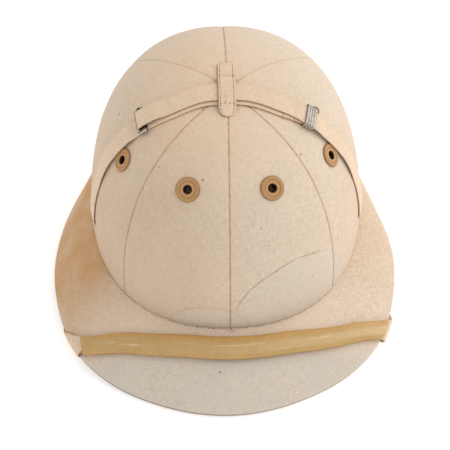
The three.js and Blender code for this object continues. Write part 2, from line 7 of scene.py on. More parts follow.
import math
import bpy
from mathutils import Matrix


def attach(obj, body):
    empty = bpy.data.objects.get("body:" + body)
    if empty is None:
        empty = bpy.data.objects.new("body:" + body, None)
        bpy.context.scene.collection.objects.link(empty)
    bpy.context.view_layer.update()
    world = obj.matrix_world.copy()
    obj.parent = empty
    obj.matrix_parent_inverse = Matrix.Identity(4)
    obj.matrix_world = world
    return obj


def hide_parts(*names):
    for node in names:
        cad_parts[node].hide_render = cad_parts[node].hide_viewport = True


bl_info = {
    "name": "Polo Helmet",
    "version": (1, 0, 0),
    "blender": (4, 5, 0),
    "location": "View3D > Sidebar > Helmet",
    "description": "Dresses the packed polo helmet in canvas, webbing, leather, wood and nickel",
    "category": "Object",
}

import bpy
import numpy as np
from bpy.props import FloatProperty, FloatVectorProperty, IntProperty, PointerProperty
from mathutils import Euler, Matrix, Vector

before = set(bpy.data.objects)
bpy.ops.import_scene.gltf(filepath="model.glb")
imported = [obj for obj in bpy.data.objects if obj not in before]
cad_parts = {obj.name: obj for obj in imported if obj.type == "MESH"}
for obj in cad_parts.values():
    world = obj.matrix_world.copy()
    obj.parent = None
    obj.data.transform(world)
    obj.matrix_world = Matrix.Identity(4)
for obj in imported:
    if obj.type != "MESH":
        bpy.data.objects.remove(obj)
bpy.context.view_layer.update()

MM = 0.001
BODY = "root"
SIDES = {"left": -1, "right": 1}

# How the shell stands: it leans forward about X, then moves until the brim rests on z = 0
LEAN = math.radians(5)
SHELL_PLACE = np.array([1.82, 7.8, 37.66]) * MM

# Seams of one half of the crown: angle from the centre of the front at the foot, and sideways bow half way up
SEAMS = {
    "front_centre": {"foot": 0, "bow": 0},
    "front_side": {"foot": 42, "bow": 3.4},
    "back_side": {"foot": 139, "bow": -8},
    "back_centre": {"foot": 180, "bow": 0},
}

# Where the seams meet, to the right of the crown's axis, and how far short of it a gore stops
POLE_X = 1.5 * MM
TIP_GAP = 0.6 * MM

# Gores of one half of the crown: the seams that they lie between, and columns of faces
GORES = {
    "front": {"seams": ("front_centre", "front_side"), "columns": 54},
    "side": {"seams": ("front_side", "back_side"), "columns": 96},
    "back": {"seams": ("back_side", "back_centre"), "columns": 56},
}

# Distances from the foot of the crown at which a gore has its lowest rows, and its number of rows above
FOOT_ROWS = np.array([0, 0.25, 0.55, 0.95, 1.5, 2.2]) * MM
GORE_ROWS = 92
# Share by which the columns of a gore crowd at its seams
SEAM_CROWDING = 0.75

# Relief of the canvas on a gore: widths over which it swells and turns in, and its unevenness
GORE_RELIEF = {
    "puff_from_seam": 6 * MM, "puff_from_foot": 8 * MM, "seam_turn": 0.55 * MM, "foot_turn": 0.7 * MM,
    "wave_height": 0.12 * MM, "wave_size": 28 * MM, "wave_seed": 3,
}

# Clear space between the crown and the brim
JOINT_GAP = 0.3 * MM

# Reach of the brim beyond the foot of the crown on the left and on the right, by angle from the front, and
# where its sides rise
BRIM_REACH = {
    0: (57.1, 57.1), 20: (54.1, 52.2), 40: (51.2, 47.8), 60: (39.9, 35.5), 80: (30.1, 26.5),
    100: (21, 16.8), 120: (6.5, 5), 140: (15.5, 15), 160: (24, 24), 180: (29, 29),
}
SIDE_RISE = {"start": 22, "full": 45, "ease": 60, "end": 100}

# Eyelet vents of one half, by their place seen from above
EYELETS = {
    "front": {"apart": 27.7 * MM, "middle": 1 * MM, "y": -68.5 * MM},
    "side": {"apart": 70.4 * MM, "middle": 0, "y": -33.2 * MM},
}

# Face of an eyelet: height over its seat by distance from its axis, from the rim in to the bore
EYELET_FACE = {
    8.35: 0.1, 8.32: 0.4, 8.15: 0.75, 7.8: 1.12, 7.3: 1.4, 6.7: 1.52, 6.2: 1.45, 5.8: 1.25, 5.5: 1.02,
    5.3: 0.98, 5.0: 1.12, 4.5: 1.28, 4.0: 1.33, 3.5: 1.22, 3.1: 0.98, 2.9: 0.6, 2.85: 0.2,
}
EYELET_HOLE = {"half_depth": 12 * MM, "sides": 40}

# Height of the two layers of webbing over the crown, by angle from the top of their plane, right positive
UPPER_LIFT = {
    -28.3: 3.25, -23: 3.25, -17: 1.95, 20: 1.95, 23.5: 2.95, 29: 2.95, 33.5: 1.85, 44: 1.85,
    58: 0.45, 74: 0.45, 83: -7.75,
}
LOWER_LIFT = {
    -83: -7.75, -74: 0.45, -58: 0.45, -44: 1.85, -33.5: 1.85, -29.5: 0.35, 20: 0.35, 23.5: 1.35, 28.3: 1.35,
}
# How far the webbing lies in front of its plane, by angle to either side of the top
SWAY = {0: -1, 4: -1, 19: 3.6, 30: 3.4, 78: -6}

# Angles between which the upper layer comes into line with the lower one
IN_LINE = {"start": 18.5, "end": 25.5}

# Slit for the webbing in the crown's wall: angles from the top, clear space, and points of its cutter
SLIT = {"start": 74.5, "end": 92, "clearance": 0.4 * MM, "rows": 24, "columns": 9}
# How far the webbing runs straight on before it bends between the slit and the brim
BEND_REACH = 8 * MM

# Route of the webbing on the brim: angle from the front, and distance in from the edge, below it negative
BRIM_ROUTE = [
    (67.5, -30), (62.5, -21), (54, -10), (47.5, 0), (44.5, 6), (36.2, 22.4), (21.5, 39), (5, 46.4),
    (-12.2, 45.7), (-26.8, 35.9), (-34, 25.9), (-40, 12.2), (-46.2, 0), (-53, -10), (-60.5, -21),
    (-66.5, -30),
]
# Length that stands for a degree where the route is smoothed
ROUTE_MM_PER_DEGREE = 2.6
# How the webbing lies near the brim's edge: where it turns square to it, its height, and its share of width
ROUTE = {
    "edge_zone": 9 * MM, "lean_zone": 30 * MM, "lift": -0.8 * MM, "ramp_start": -3 * MM, "drawn_in": 0.74,
}

# Height of the keeper tab over the crown, from its front end to its back end
TAB_LIFT = {-23.5: 0.35, -21.5: 0.35, -13.5: 3.7, 4.5: 3.7, 11.5: 0.35, 24: 0.35}

# Rows of stitches: length, gap and thread radius in millimetres, how unlike they are as a share, and stray
STITCHES = {
    "joint": (1.8, 1.1, 0.16, 0.5, 0.12),
    "star": (1.2, 0.7, 0.16, 0.3, 0),
    "turn_back": (1.9, 0.5, 0.32, 0.4, 0.2),
    "knot": (1.7, 0.1, 0.5, 0.3, 0.2),
    "guard": (1.8, 0.3, 0.3, 0.4, 0.1),
    "tab": (2.2, 0.5, 0.18, 0.25, 0),
}
STITCH_SEED = 5

# Lines that water left low on the crown: an arch of angle from the front and height, and how dark each is
WATER_MARKS = [
    {"Middle": 25.4, "Foot": 17.7 * MM, "Half Width": 23.1, "Rise": 38.5 * MM, "Line Width": 0.032},
    {"Middle": -7.2, "Foot": -12.6 * MM, "Half Width": 15.5, "Rise": 38 * MM, "Line Width": 0.04},
]
WATER_STRENGTH = (0.65, 0.3)

# Values that canvas and webbing share, and threads of each per metre
CLOTH = {"Specular IOR Level": 0.2, "Sheen Weight": 0.15}
CANVAS_THREADS = 1300
WEBBING_THREADS = 1800

# Places of the sockets for colours in a mix node
MIX = {"share": 0, "under": 6, "over": 7, "result": 2}


def ease(value, start, end):
    """Smooth step from 0 at start to 1 at end."""
    share = np.clip((value - start) / (end - start), 0, 1)
    return share * share * (3 - 2 * share)


def hump(value, middle, width):
    """1 at the middle, falling to 0 on either side over a width."""
    return np.exp(-(((value - middle) / width) ** 2))


def mix(first, second, share):
    """Value a share of the way from one to another."""
    return first + (second - first) * share


def unit(vectors):
    """Vectors of length 1."""
    return vectors / np.linalg.norm(vectors, axis=-1, keepdims=True)


def full_turn(count):
    """Angles at even steps all the way round."""
    return np.linspace(0, 2 * math.pi, count, endpoint=False)


def mirrored(shares):
    """Shares from one edge to the middle, and on to the other edge."""
    return np.concatenate([shares, -shares[-2::-1]])


def smooth_between(before, start, end, after, share):
    """Places at a share of the way from start to end, on a smooth curve through four places."""
    leave, arrive, change = (end - before) / 2, (after - start) / 2, end - start
    return (start + leave * share + (3 * change - 2 * leave - arrive) * share**2
            + (leave + arrive - 2 * change) * share**3)


def from_table(table, places):
    """Values eased between the rows of a table of place to value."""
    keys = np.array(list(table), float)
    values = np.array(list(table.values()), float)
    row = np.clip(np.searchsorted(keys, places, side="right") - 1, 0, len(keys) - 2)
    return mix(values[row], values[row + 1], ease(places, keys[row], keys[row + 1]))


def unevenness(points, size, seed, count=10):
    """Smooth random height, mostly between -1 and 1, of waves that change over lengths of about size."""
    draw = np.random.default_rng(seed)
    waves = draw.normal(size=(count, points.shape[-1])) * (3.5 / size)
    phases = draw.uniform(0, 2 * math.pi, count)
    return np.sin(points @ waves.T + phases).mean(axis=-1) * 2


def run_length(points):
    """Length of the way along the first axis of points, from its start to each point."""
    steps = np.linalg.norm(np.diff(points, axis=0), axis=-1)
    return np.concatenate([np.zeros((1,) + steps.shape[1:]), np.cumsum(steps, axis=0)])


def stood(points):
    """Points of the shell's frame, where the leaning shell stands."""
    y = points[..., 1] * math.cos(LEAN) - points[..., 2] * math.sin(LEAN)
    z = points[..., 1] * math.sin(LEAN) + points[..., 2] * math.cos(LEAN)
    return np.stack([points[..., 0], y, z], axis=-1) + SHELL_PLACE


def on_turn(angles, flat):
    """Points of a section at angles from the front, turned to their place round the axis."""
    turn = np.radians(angles)
    return np.stack([flat[..., 0] * np.sin(turn), -flat[..., 0] * np.cos(turn), flat[..., 1]], axis=-1)


# Leaning plane in which the webbing goes over the crown
WEBBING_FOOT = np.array([0, -43, 0]) * MM
WEBBING_UP = unit(np.array([0, 35, 122.4]))
WEBBING_BACK = np.array([0, WEBBING_UP[2], -WEBBING_UP[1]])


class Shell:
    """Curved faces of the crown and the brim, from the settings, in the shell's own frame."""

    def __init__(self, settings):
        self.crown = settings.crown
        self.brim = settings.brim

    def plan_level(self, x, y):
        """0 on the axis of the crown, 1 on its foot, seen from above."""
        crown = self.crown
        length = np.where(y < 0, crown.front_length, crown.back_length)
        total = np.abs(x / crown.half_width) ** crown.plan_power + np.abs(y / length) ** crown.plan_power
        return total ** (1 / crown.plan_power)

    def crown_level(self, points):
        """Less than 1 inside the crown, 1 on its outer face and more outside."""
        plan = self.plan_level(points[..., 0], points[..., 1])
        rise = np.abs(points[..., 2]) / self.crown.height
        return plan ** self.crown.rise_power + rise ** self.crown.rise_power

    def crown_normal(self, points):
        steps = np.eye(3) * 0.01 * MM
        slopes = [self.crown_level(points + step) - self.crown_level(points - step) for step in steps]
        return unit(np.stack(slopes, axis=-1))

    def crown_at(self, x, y):
        """Points of the crown's outer face, seen from above."""
        power = self.crown.rise_power
        height = self.crown.height * np.maximum(1 - self.plan_level(x, y) ** power, 0) ** (1 / power)
        return np.stack(np.broadcast_arrays(x, y, height), axis=-1)

    def foot_radius(self, angles):
        """Distance from the axis to the foot of the crown, at angles from the front."""
        turn = np.radians(angles)
        return 1 / self.plan_level(np.sin(turn), -np.cos(turn))

    def over_crown(self, angles, forward, lift, halvings=40):
        """Points over the crown, in the leaning plane of the webbing moved forward by a distance."""
        angles, forward, lift = np.broadcast_arrays(angles, forward, lift)
        turn = np.radians(angles)[..., None]
        origins = WEBBING_FOOT - forward[..., None] * WEBBING_BACK
        directions = np.sin(turn) * np.array([1, 0, 0]) + np.cos(turn) * WEBBING_UP
        near = np.zeros(angles.shape)
        far = near + 3 * self.crown.height
        for _ in range(halvings):
            middle = (near + far) / 2
            inside = self.crown_level(origins + directions * middle[..., None]) < 1
            near = np.where(inside, middle, near)
            far = np.where(inside, far, middle)
        points = origins + directions * near[..., None]
        return points + self.crown_normal(points) * lift[..., None]

    def reach(self, angles):
        """Reach of the brim beyond the foot, on a smooth curve round its table."""
        left, right = np.array(list(BRIM_REACH.values())).T * MM
        around = np.concatenate([left[:0:-1], right[:-1]])
        place = (angles + 180) / (180 / (len(BRIM_REACH) - 1))
        row = np.floor(place).astype(int)
        knots = (around[(row + step) % len(around)] for step in (-1, 0, 1, 2))
        return smooth_between(*knots, place - row)

    def section(self, angles):
        """Middle line of the brim at angles from the front, as distances from the axis and heights."""
        brim = self.brim
        signed = (angles + 180) % 360 - 180
        turned = np.abs(signed)
        foot = self.foot_radius(turned)
        middle = foot + self.reach(signed) - brim.edge_radius
        rising = ease(turned, SIDE_RISE["start"], SIDE_RISE["full"])
        rising = rising * (1 - ease(turned, SIDE_RISE["ease"], SIDE_RISE["end"]))
        floor = math.tan(LEAN) * middle * np.cos(np.radians(turned)) - brim.depth + brim.side_rise * rising
        root_height = np.full_like(foot, -brim.thickness / 2 - JOINT_GAP)
        start = np.stack([foot - brim.root_inset, root_height], axis=-1)
        centre = np.stack([middle, floor + brim.edge_radius], axis=-1)
        length = np.linalg.norm(centre - start, axis=-1, keepdims=True)
        along = (centre - start) / length
        normal = np.stack([-along[..., 1], along[..., 0]], axis=-1)
        return {"foot": foot, "start": start, "centre": centre, "along": along, "normal": normal,
                "length": length}

    def brim_face(self, section, share, face, lift):
        """Points over the upper (1) or lower (-1) face of the brim, at a share of its width."""
        brim = self.brim
        thickness = mix(brim.thickness, 2 * brim.edge_radius, share)
        rise = brim.swell * 4 * share * (1 - share) + face * (thickness / 2 + lift)
        return (section["start"] + section["along"] * section["length"] * share[..., None]
                + section["normal"] * rise[..., None])

    def round_edge(self, section, turn, lift):
        """Points over the rolled edge of the brim, at turns from below (negative) to above."""
        reach = (self.brim.edge_radius + lift)[..., None]
        turn = turn[..., None]
        outward = section["along"] * np.cos(turn) + section["normal"] * np.sin(turn)
        return section["centre"] + outward * reach

    def brim_skin(self, angles, edge, lift, rounded_edge=True):
        """Points over the skin of the brim, at a distance from the tip of its edge."""
        angles, edge, lift = np.broadcast_arrays(angles, edge, lift)
        section = self.section(angles)
        quarter = math.pi * self.brim.edge_radius / 2
        if not rounded_edge:
            share = 1 - (edge - quarter) / section["length"][..., 0]
            return on_turn(angles, self.brim_face(section, share, 1, lift))
        share = 1 - (np.abs(edge) - quarter) / section["length"][..., 0]
        flat = self.brim_face(section, share, np.sign(edge), lift)
        turn = np.clip(edge / self.brim.edge_radius, -math.pi / 2, math.pi / 2)
        rounded = self.round_edge(section, turn, lift)
        return on_turn(angles, np.where((np.abs(edge) < quarter)[..., None], rounded, flat))


# Meshes and pieces
def grid_faces(rows, columns, close_rows=False, close_columns=False):
    """Four-sided faces over a grid of points counted row by row."""
    row = np.arange(rows if close_rows else rows - 1)[:, None]
    column = np.arange(columns if close_columns else columns - 1)[None, :]
    next_row = (row + 1) % rows
    next_column = (column + 1) % columns
    corners = [row * columns + column, row * columns + next_column,
               next_row * columns + next_column, next_row * columns + column]
    return np.stack(np.broadcast_arrays(*corners), -1).reshape(-1, 4)


def facing_out(points, faces):
    """Faces turned round if they point into the closed shape."""
    corners = points[np.array([face[:3] for face in faces])]
    volume = np.einsum("ij,ij->i", corners[:, 0], np.cross(corners[:, 1], corners[:, 2])).sum()
    return faces if volume > 0 else [face[::-1] for face in faces]


def closed_tube(points):
    """Points and faces of a tube through closed rows of points, with a fan of faces over each end."""
    rows, columns = points.shape[:2]
    ends = np.stack([points[0].mean(axis=0), points[-1].mean(axis=0)])
    faces = grid_faces(rows, columns, close_columns=True).tolist()
    first, last = rows * columns, rows * columns + 1
    base = (rows - 1) * columns
    for column in range(columns):
        following = (column + 1) % columns
        faces.append([first, following, column])
        faces.append([last, base + column, base + following])
    return np.concatenate([points.reshape(-1, 3), ends]), faces


def map_of(first, second):
    """UV map from two arrays of values over the points."""
    return np.stack(np.broadcast_arrays(first, second), axis=-1).reshape(-1, 2)


def make_mesh(name, points, faces, maps=None):
    """Mesh with smooth faces that point outwards and a UV map for each named array of pairs."""
    mesh = bpy.data.meshes.new(name)
    mesh.from_pydata(points.tolist(), [], facing_out(points, [list(face) for face in faces]))
    corners = np.zeros(len(mesh.loops), np.int32)
    mesh.loops.foreach_get("vertex_index", corners)
    for title, pairs in (maps or {}).items():
        layer = mesh.uv_layers.new(name=title)
        layer.uv.foreach_set("vector", np.asarray(pairs, np.float32)[corners].ravel())
    mesh.shade_smooth()
    mesh.validate()
    return mesh


def add_object(name, data):
    """New object in the scene."""
    item = bpy.data.objects.new(name, data)
    bpy.context.scene.collection.objects.link(item)
    return item


def make_piece(name, mesh, material, nodes=()):
    """Object of the helmet that rides on its body and stands for CAD nodes."""
    piece = add_object(name, mesh)
    mesh.materials.clear()
    mesh.materials.append(material)
    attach(piece, BODY)
    if nodes:
        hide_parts(*nodes)


def taken_mesh(item):
    """Mesh of an object with its modifiers applied. The object is removed."""
    bpy.context.view_layer.update()
    evaluated = item.evaluated_get(bpy.context.evaluated_depsgraph_get())
    mesh = bpy.data.meshes.new_from_object(evaluated)
    bpy.data.objects.remove(item)
    return mesh


def cut_mesh(mesh, cutters):
    """The mesh with the closed shapes of other meshes cut out of it."""
    body = add_object("cut_body", mesh)
    tools = [add_object("cutter", cutter) for cutter in cutters]
    for tool in tools:
        modifier = body.modifiers.new("cut", "BOOLEAN")
        modifier.operation = "DIFFERENCE"
        modifier.solver = "EXACT"
        modifier.object = tool
    result = taken_mesh(body)
    for tool in tools:
        bpy.data.objects.remove(tool)
    return result


def ring_about(axis, count):
    """Unit vectors all round an axis."""
    side = unit(np.cross(axis, np.array([1.0, 0.2, 0])))
    turn = full_turn(count)[:, None]
    return np.cos(turn) * side + np.sin(turn) * np.cross(axis, side)


def lathe_mesh(name, profile, sides, place, axis):
    """Turned shape: a closed profile of radius and height, spun about an axis through a place."""
    ring = ring_about(axis, sides)
    points = place + profile[None, :, :1] * ring[:, None, :] + profile[None, :, 1:] * axis
    maps = {"turning": map_of(profile[None, :, 0], full_turn(sides)[:, None])}
    faces = grid_faces(sides, len(profile), close_rows=True, close_columns=True)
    return make_mesh(name, stood(points).reshape(-1, 3), faces, maps)


# Sizes and colours that a user may change
def size(name, value, description):
    return FloatProperty(name=name, description=description, default=value * MM, unit="LENGTH", precision=5)


def number(name, value, description):
    return FloatProperty(name=name, description=description, default=value)


def colour(name, value, description):
    return FloatVectorProperty(name=name, description=description, default=value, subtype="COLOR",
                               min=0, max=1)


class CrownSettings(bpy.types.PropertyGroup):
    """Dome of the helmet."""

    half_width: size("Half Width", 98.7, "From the axis to the side of the foot")
    front_length: size("Front Length", 113.6, "From the axis to the front of the foot")
    back_length: size("Back Length", 120, "From the axis to the back of the foot")
    height: size("Height", 122.4, "From the foot to the top")
    plan_power: number("Plan Fullness", 2.25, "Power of the oval seen from above")
    rise_power: number("Rise Fullness", 2.35, "Power of the oval seen from the side")
    wall: size("Wall", 6, "Thickness of the covered shell")
    seam_gap: size("Seam Gap", 0.05, "Clear space between two gores")
    seam_dip: size("Seam Dip", 0.3, "How far the canvas turns in at a seam")
    foot_dip: size("Foot Dip", 0.35, "How far the canvas turns in at the brim")
    puff: size("Puff", 0.25, "How far the canvas stands off between the seams")


class BrimSettings(bpy.types.PropertyGroup):
    """Brim with its peak."""

    thickness: size("Thickness", 6, "At the crown")
    root_inset: size("Root Inset", 1.2, "How far its middle line starts inside the foot")
    inner_height: size("Inner Height", 4.8, "Height of its inner edge")
    edge_radius: size("Edge Radius", 2.3, "Radius of its rolled edge")
    swell: size("Swell", 2, "Upward bow of its section")
    side_rise: size("Side Rise", 5, "How far its sides stand off the surface")
    depth: size("Depth", 37.8, "From the foot of the crown down to the surface, on the axis")
    segments: IntProperty(name="Segments", description="Faces round the brim", default=760)


class StrapSettings(bpy.types.PropertyGroup):
    """Webbing strap."""

    width: size("Width", 15, "Width of the webbing")
    thickness: size("Thickness", 1.3, "Thickness of the webbing")
    upper_shift: size("Upper Shift", 2.5, "How far the upper layer lies behind the lower one")
    rib_pitch: size("Rib Pitch", 1.5, "From one woven rib to the next")
    rib_height: size("Rib Height", 0.16, "Height of a rib")
    doubled_end: number("Doubled End", 28.3, "Angle from the top at which each end stops")


class GuardSettings(bpy.types.PropertyGroup):
    """Leather chin guard."""

    half_width: size("Half Width", 8.75, "Half of its width")
    left_half_width: size("Left Half Width", 6.1, "Half of its width at its left end")
    right_half_width: size("Right Half Width", 5.9, "Half of its width at its right end")
    end_zone: size("End Zone", 8, "From the brim's edge to where it begins to widen")
    full_zone: size("Full Zone", 60, "From the brim's edge to where it has its full width")
    half_height: size("Half Height", 2.6, "Half of its thickness")
    seat: size("Seat", 0.4, "Clear space between the guard and the peak")
    left_clearance: size("Left Clearance", 7.6, "From its left end to the edge of the brim")
    right_clearance: size("Right Clearance", 2, "From its right end to the edge of the brim")
    left_lean: number("Left Lean", 0.27, "0 if its left end is square, 1 if along the brim's edge")
    right_lean: number("Right Lean", 0.7, "0 if its right end is square, 1 if along the brim's edge")
    tunnel_inset: size("Tunnel Inset", 0.45, "From its side to the way through it")
    tunnel_half_height: size("Tunnel Half Height", 1.35, "Half of the height of the way through it")


class FittingSettings(bpy.types.PropertyGroup):
    """Vents and keeper tab."""

    bore_radius: size("Bore Radius", 2.85, "Hole through an eyelet")
    barrel_radius: size("Barrel Radius", 3.9, "Barrel of an eyelet in the shell")
    barrel_depth: size("Barrel Depth", 7, "Depth of the barrel")
    hole_radius: size("Hole Radius", 4.3, "Hole in the shell for the barrel")
    tab_width: size("Tab Width", 12, "Width of the keeper tab")
    tab_thickness: size("Tab Thickness", 1, "Thickness of the keeper tab")
    tab_front: size("Tab Front", -23.5, "Front end of the tab, seen from above")
    tab_back: size("Tab Back", 24, "Back end of the tab, seen from above")
    tab_x: size("Tab Offset", 0.8, "Middle of the tab to the right of the centre")
    tab_tip: size("Tab Tip", 6, "Length of its rounded tip")


class FinishSettings(bpy.types.PropertyGroup):
    """Colours of the finishes."""

    canvas: colour("Canvas", (0.74, 0.6, 0.46), "Clean cream canvas")
    stain: colour("Stain", (0.6, 0.34, 0.15), "Tan stain at the sides")
    faded: colour("Faded", (0.59, 0.565, 0.5), "Grey, washed-out canvas of the peak")
    # Lighter, warmer canvas at the top of the crown: a warm tone with painted light
    warm_lit_top: colour("Sunned", (0.88, 0.62, 0.41), "Warm canvas at the top of the crown")
    # Dark brown for dirt in seams and specks, and also for painted shade on several pieces
    soil_and_shade: colour("Soil", (0.22, 0.11, 0.045), "Dirt in seams and specks")
    # Painted shade: grey along the lower side of the peak's rolled edge
    rim: colour("Rim", (0.12, 0.11, 0.125), "Grey of the worn rim of the peak")
    water: colour("Water Mark", (0.4, 0.25, 0.18), "Line left by water")
    webbing: colour("Webbing", (0.81, 0.625, 0.455), "Cotton webbing")
    leather: colour("Leather", (0.56, 0.35, 0.13), "Tan leather")
    # Pale leather for the painted highlights of the chin guard
    worn: colour("Worn Leather", (0.74, 0.54, 0.3), "Leather where it is rubbed")
    rich: colour("Rich Leather", (0.58, 0.33, 0.1), "Leather near its edges")
    wood: colour("Wood", (0.5, 0.262, 0.092), "Turned wood of the vents")
    nickel: colour("Nickel", (0.62, 0.55, 0.485), "Nickel of the slides")
    thread: colour("Thread", (0.16, 0.075, 0.03), "Brown sewing thread")


class StageSettings(bpy.types.PropertyGroup):
    """Camera and light."""

    azimuth: number("Azimuth", -1.43, "Camera to the right of the front, in degrees")
    elevation: number("Elevation", 49.1, "Camera above the floor, in degrees")
    distance: FloatProperty(name="Distance", description="Camera to its aim", default=1.0002, unit="LENGTH")
    roll: number("Roll", -0.3, "Turn of the camera about its axis, in degrees")
    lens: number("Lens", 106.9, "Focal length in millimetres")
    aim: FloatVectorProperty(name="Aim", description="Point in the middle of the view", subtype="XYZ",
                             default=(0.001, -0.0069, 0.0244), unit="LENGTH")
    key: number("Key Light", 15.5, "Power of the key light in watts")
    fill: number("World", 0.785, "Strength of the light from all round")


class HelmetSettings(bpy.types.PropertyGroup):
    """All settings of the helmet."""

    crown: PointerProperty(type=CrownSettings)
    brim: PointerProperty(type=BrimSettings)
    strap: PointerProperty(type=StrapSettings)
    guard: PointerProperty(type=GuardSettings)
    fittings: PointerProperty(type=FittingSettings)
    finish: PointerProperty(type=FinishSettings)
    stage: PointerProperty(type=StageSettings)


# Node trees
class Field:
    """Output of a node, to be added, multiplied and measured like a number."""

    def __init__(self, socket):
        self.socket = socket
        self.tree = socket.id_data

    def math(self, operation, *others):
        inputs = dict(enumerate((self, *others)))
        return field(self.tree, "ShaderNodeMath", 0, inputs, operation=operation)

    def __add__(self, other):
        return self.math("ADD", other)

    def __sub__(self, other):
        return self.math("SUBTRACT", other)

    def __mul__(self, other):
        return self.math("MULTIPLY", other)

    def __truediv__(self, other):
        return self.math("DIVIDE", other)

    def __abs__(self):
        return self.math("ABSOLUTE")

    def band(self, start, end):
        """0 where the value is at start, 1 at end, smooth between."""
        inputs = {"Value": self, "From Min": start, "From Max": end}
        return field(self.tree, "ShaderNodeMapRange", "Result", inputs, interpolation_type="SMOOTHSTEP")

    def noise(self, scale, detail=3, roughness=0.55):
        inputs = {"Vector": self, "Scale": scale, "Detail": detail, "Roughness": roughness}
        return field(self.tree, "ShaderNodeTexNoise", "Fac", inputs)

    def scaled(self, *factors):
        return field(self.tree, "ShaderNodeMapping", "Vector", {"Vector": self, "Scale": factors})

    def parts(self):
        """X, Y and Z of a vector."""
        return fields(add_node(self.tree, "ShaderNodeSeparateXYZ", {"Vector": self}))


def set_inputs(node, inputs):
    """Links each named input of a node to a field, or gives it a value."""
    for key, value in inputs.items():
        socket = node.inputs[key]
        if isinstance(value, Field):
            node.id_data.links.new(value.socket, socket)
        elif socket.type == "RGBA":
            socket.default_value = (*value, 1)
        else:
            socket.default_value = value


def add_node(tree, kind, inputs=None, **options):
    """A node with its options, and with its inputs set or linked."""
    node = tree.nodes.new(kind)
    for option, value in options.items():
        setattr(node, option, value)
    set_inputs(node, inputs or {})
    return node


def field(tree, kind, output, inputs=None, **options):
    """One output of a new node."""
    return Field(add_node(tree, kind, inputs, **options).outputs[output])


def fields(node):
    """Outputs of a node, by name."""
    return {socket.name: Field(socket) for socket in node.outputs}


def uv_map(tree, name):
    return field(tree, "ShaderNodeUVMap", "UV", uv_map=name)


def shade(base, factor):
    """A colour made lighter or darker."""
    return tuple(min(1, factor * part) for part in base)


def blend(share, under, over):
    """Colour from one to another by a share."""
    inputs = {MIX["share"]: share, MIX["under"]: under, MIX["over"]: over}
    return field(share.tree, "ShaderNodeMix", MIX["result"], inputs, data_type="RGBA")


def layered(tone, *layers):
    """Colour with others laid over it in turn, each given as its share and its tone."""
    for share, over in layers:
        tone = blend(share, tone, over)
    return tone


def new_group(name, inputs, outputs, kind="ShaderNodeTree"):
    """Node group with sockets of named kinds: its tree, its inputs as fields and its output node."""
    tree = bpy.data.node_groups.new(name, kind)
    for way, sockets in (("INPUT", inputs), ("OUTPUT", outputs)):
        for title, value in sockets.items():
            tree.interface.new_socket(title, in_out=way, socket_type="NodeSocket" + value)
    return tree, fields(tree.nodes.new("NodeGroupInput")), tree.nodes.new("NodeGroupOutput")


def shared_group(name):
    """Node group of a name, made at its first use."""
    return bpy.data.node_groups.get(name) or GROUPS[name](name)


def place_group(tree, name, inputs=None):
    """Outputs of a shared group, placed in a tree."""
    return fields(add_node(tree, "ShaderNodeGroup", inputs, node_tree=shared_group(name)))


def shell_place_group(name):
    """Where a point lies on the shell: its place, degrees from the front and height over the foot."""
    tree, _, done = new_group(name, {}, {"Place": "Vector", "Angle": "Float", "Height": "Float"})
    origin = Matrix.Rotation(-LEAN, 3, "X") @ Vector(SHELL_PLACE)
    world = field(tree, "ShaderNodeTexCoord", "Object")
    inputs = {"Vector": world, "Rotation": (-LEAN, 0, 0), "Location": -origin}
    place = field(tree, "ShaderNodeMapping", "Vector", inputs)
    parts = place.parts()
    turn = parts["X"].math("ARCTAN2", parts["Y"] * -1)
    set_inputs(done, {"Place": place, "Angle": turn.math("DEGREES"), "Height": parts["Z"]})
    return tree


def weave_group(name):
    """Plain weave on a map in metres: height of the threads, and a tone for thick and thin ones."""
    sockets = {"Map": "Vector", "Threads per Metre": "Float"}
    tree, given, done = new_group(name, sockets, {"Height": "Float", "Tone": "Float"})
    parts = given["Map"].parts()
    turns = given["Threads per Metre"] * math.pi
    warp_wave, weft_wave = ((parts[axis] * turns).math("SINE") for axis in "XY")
    warp = given["Map"].scaled(1, 0.16, 1).noise(1100, 2, 0.6)
    weft = given["Map"].scaled(0.16, 1, 1).noise(1100, 2, 0.6)
    slubs = warp + weft
    flecks = given["Map"].noise(1000, 3, 0.65)
    tone = (slubs * 0.32 + flecks * 0.36).band(0.38, 0.62)
    set_inputs(done, {"Height": warp_wave * weft_wave * 0.3 + slubs, "Tone": tone})
    return tree


def age_group(name):
    """Signs of age on any finish: broad mottling, fine grime and scattered specks, each from 0 to 1."""
    sockets = {title: "Float" for title in ("Mottle", "Grime", "Specks")}
    tree, given, done = new_group(name, {"Place": "Vector"}, sockets)
    place = given["Place"]
    cells = fields(add_node(tree, "ShaderNodeTexVoronoi", {"Vector": place, "Scale": 140}))
    draw = fields(add_node(tree, "ShaderNodeSeparateColor", {"Color": cells["Color"]}))
    chosen = draw["Red"].math("GREATER_THAN", 0.62)
    reach = draw["Green"] * 0.19
    near = cells["Distance"].band(reach, reach * 0.4)
    mottle = place.noise(24, 4, 0.6).band(0.3, 0.7)
    grime = place.noise(260, 5, 0.65).band(0.35, 0.75)
    set_inputs(done, {"Mottle": mottle, "Grime": grime, "Specks": chosen * near * draw["Blue"]})
    return tree


def water_group(name):
    """Line that water left, an arch over the foot of the crown: the line, and the ground inside it."""
    titles = ("Angle", "Height", "Wobble", "Middle", "Foot", "Half Width", "Rise", "Line Width")
    sockets = {title: "Float" for title in titles}
    tree, given, done = new_group(name, sockets, {"Line": "Float", "Ground": "Float"})
    across = (given["Angle"] - given["Middle"]) / given["Half Width"]
    up = (given["Height"] - given["Foot"]) / given["Rise"]
    reach = given["Wobble"] * 0.16 + (across * across + up * up).math("SQRT")
    line = abs(reach - 1.08).band(given["Line Width"], 0) * up.band(0, 0.15)
    set_inputs(done, {"Line": line, "Ground": reach.band(1.1, 0.95)})
    return tree


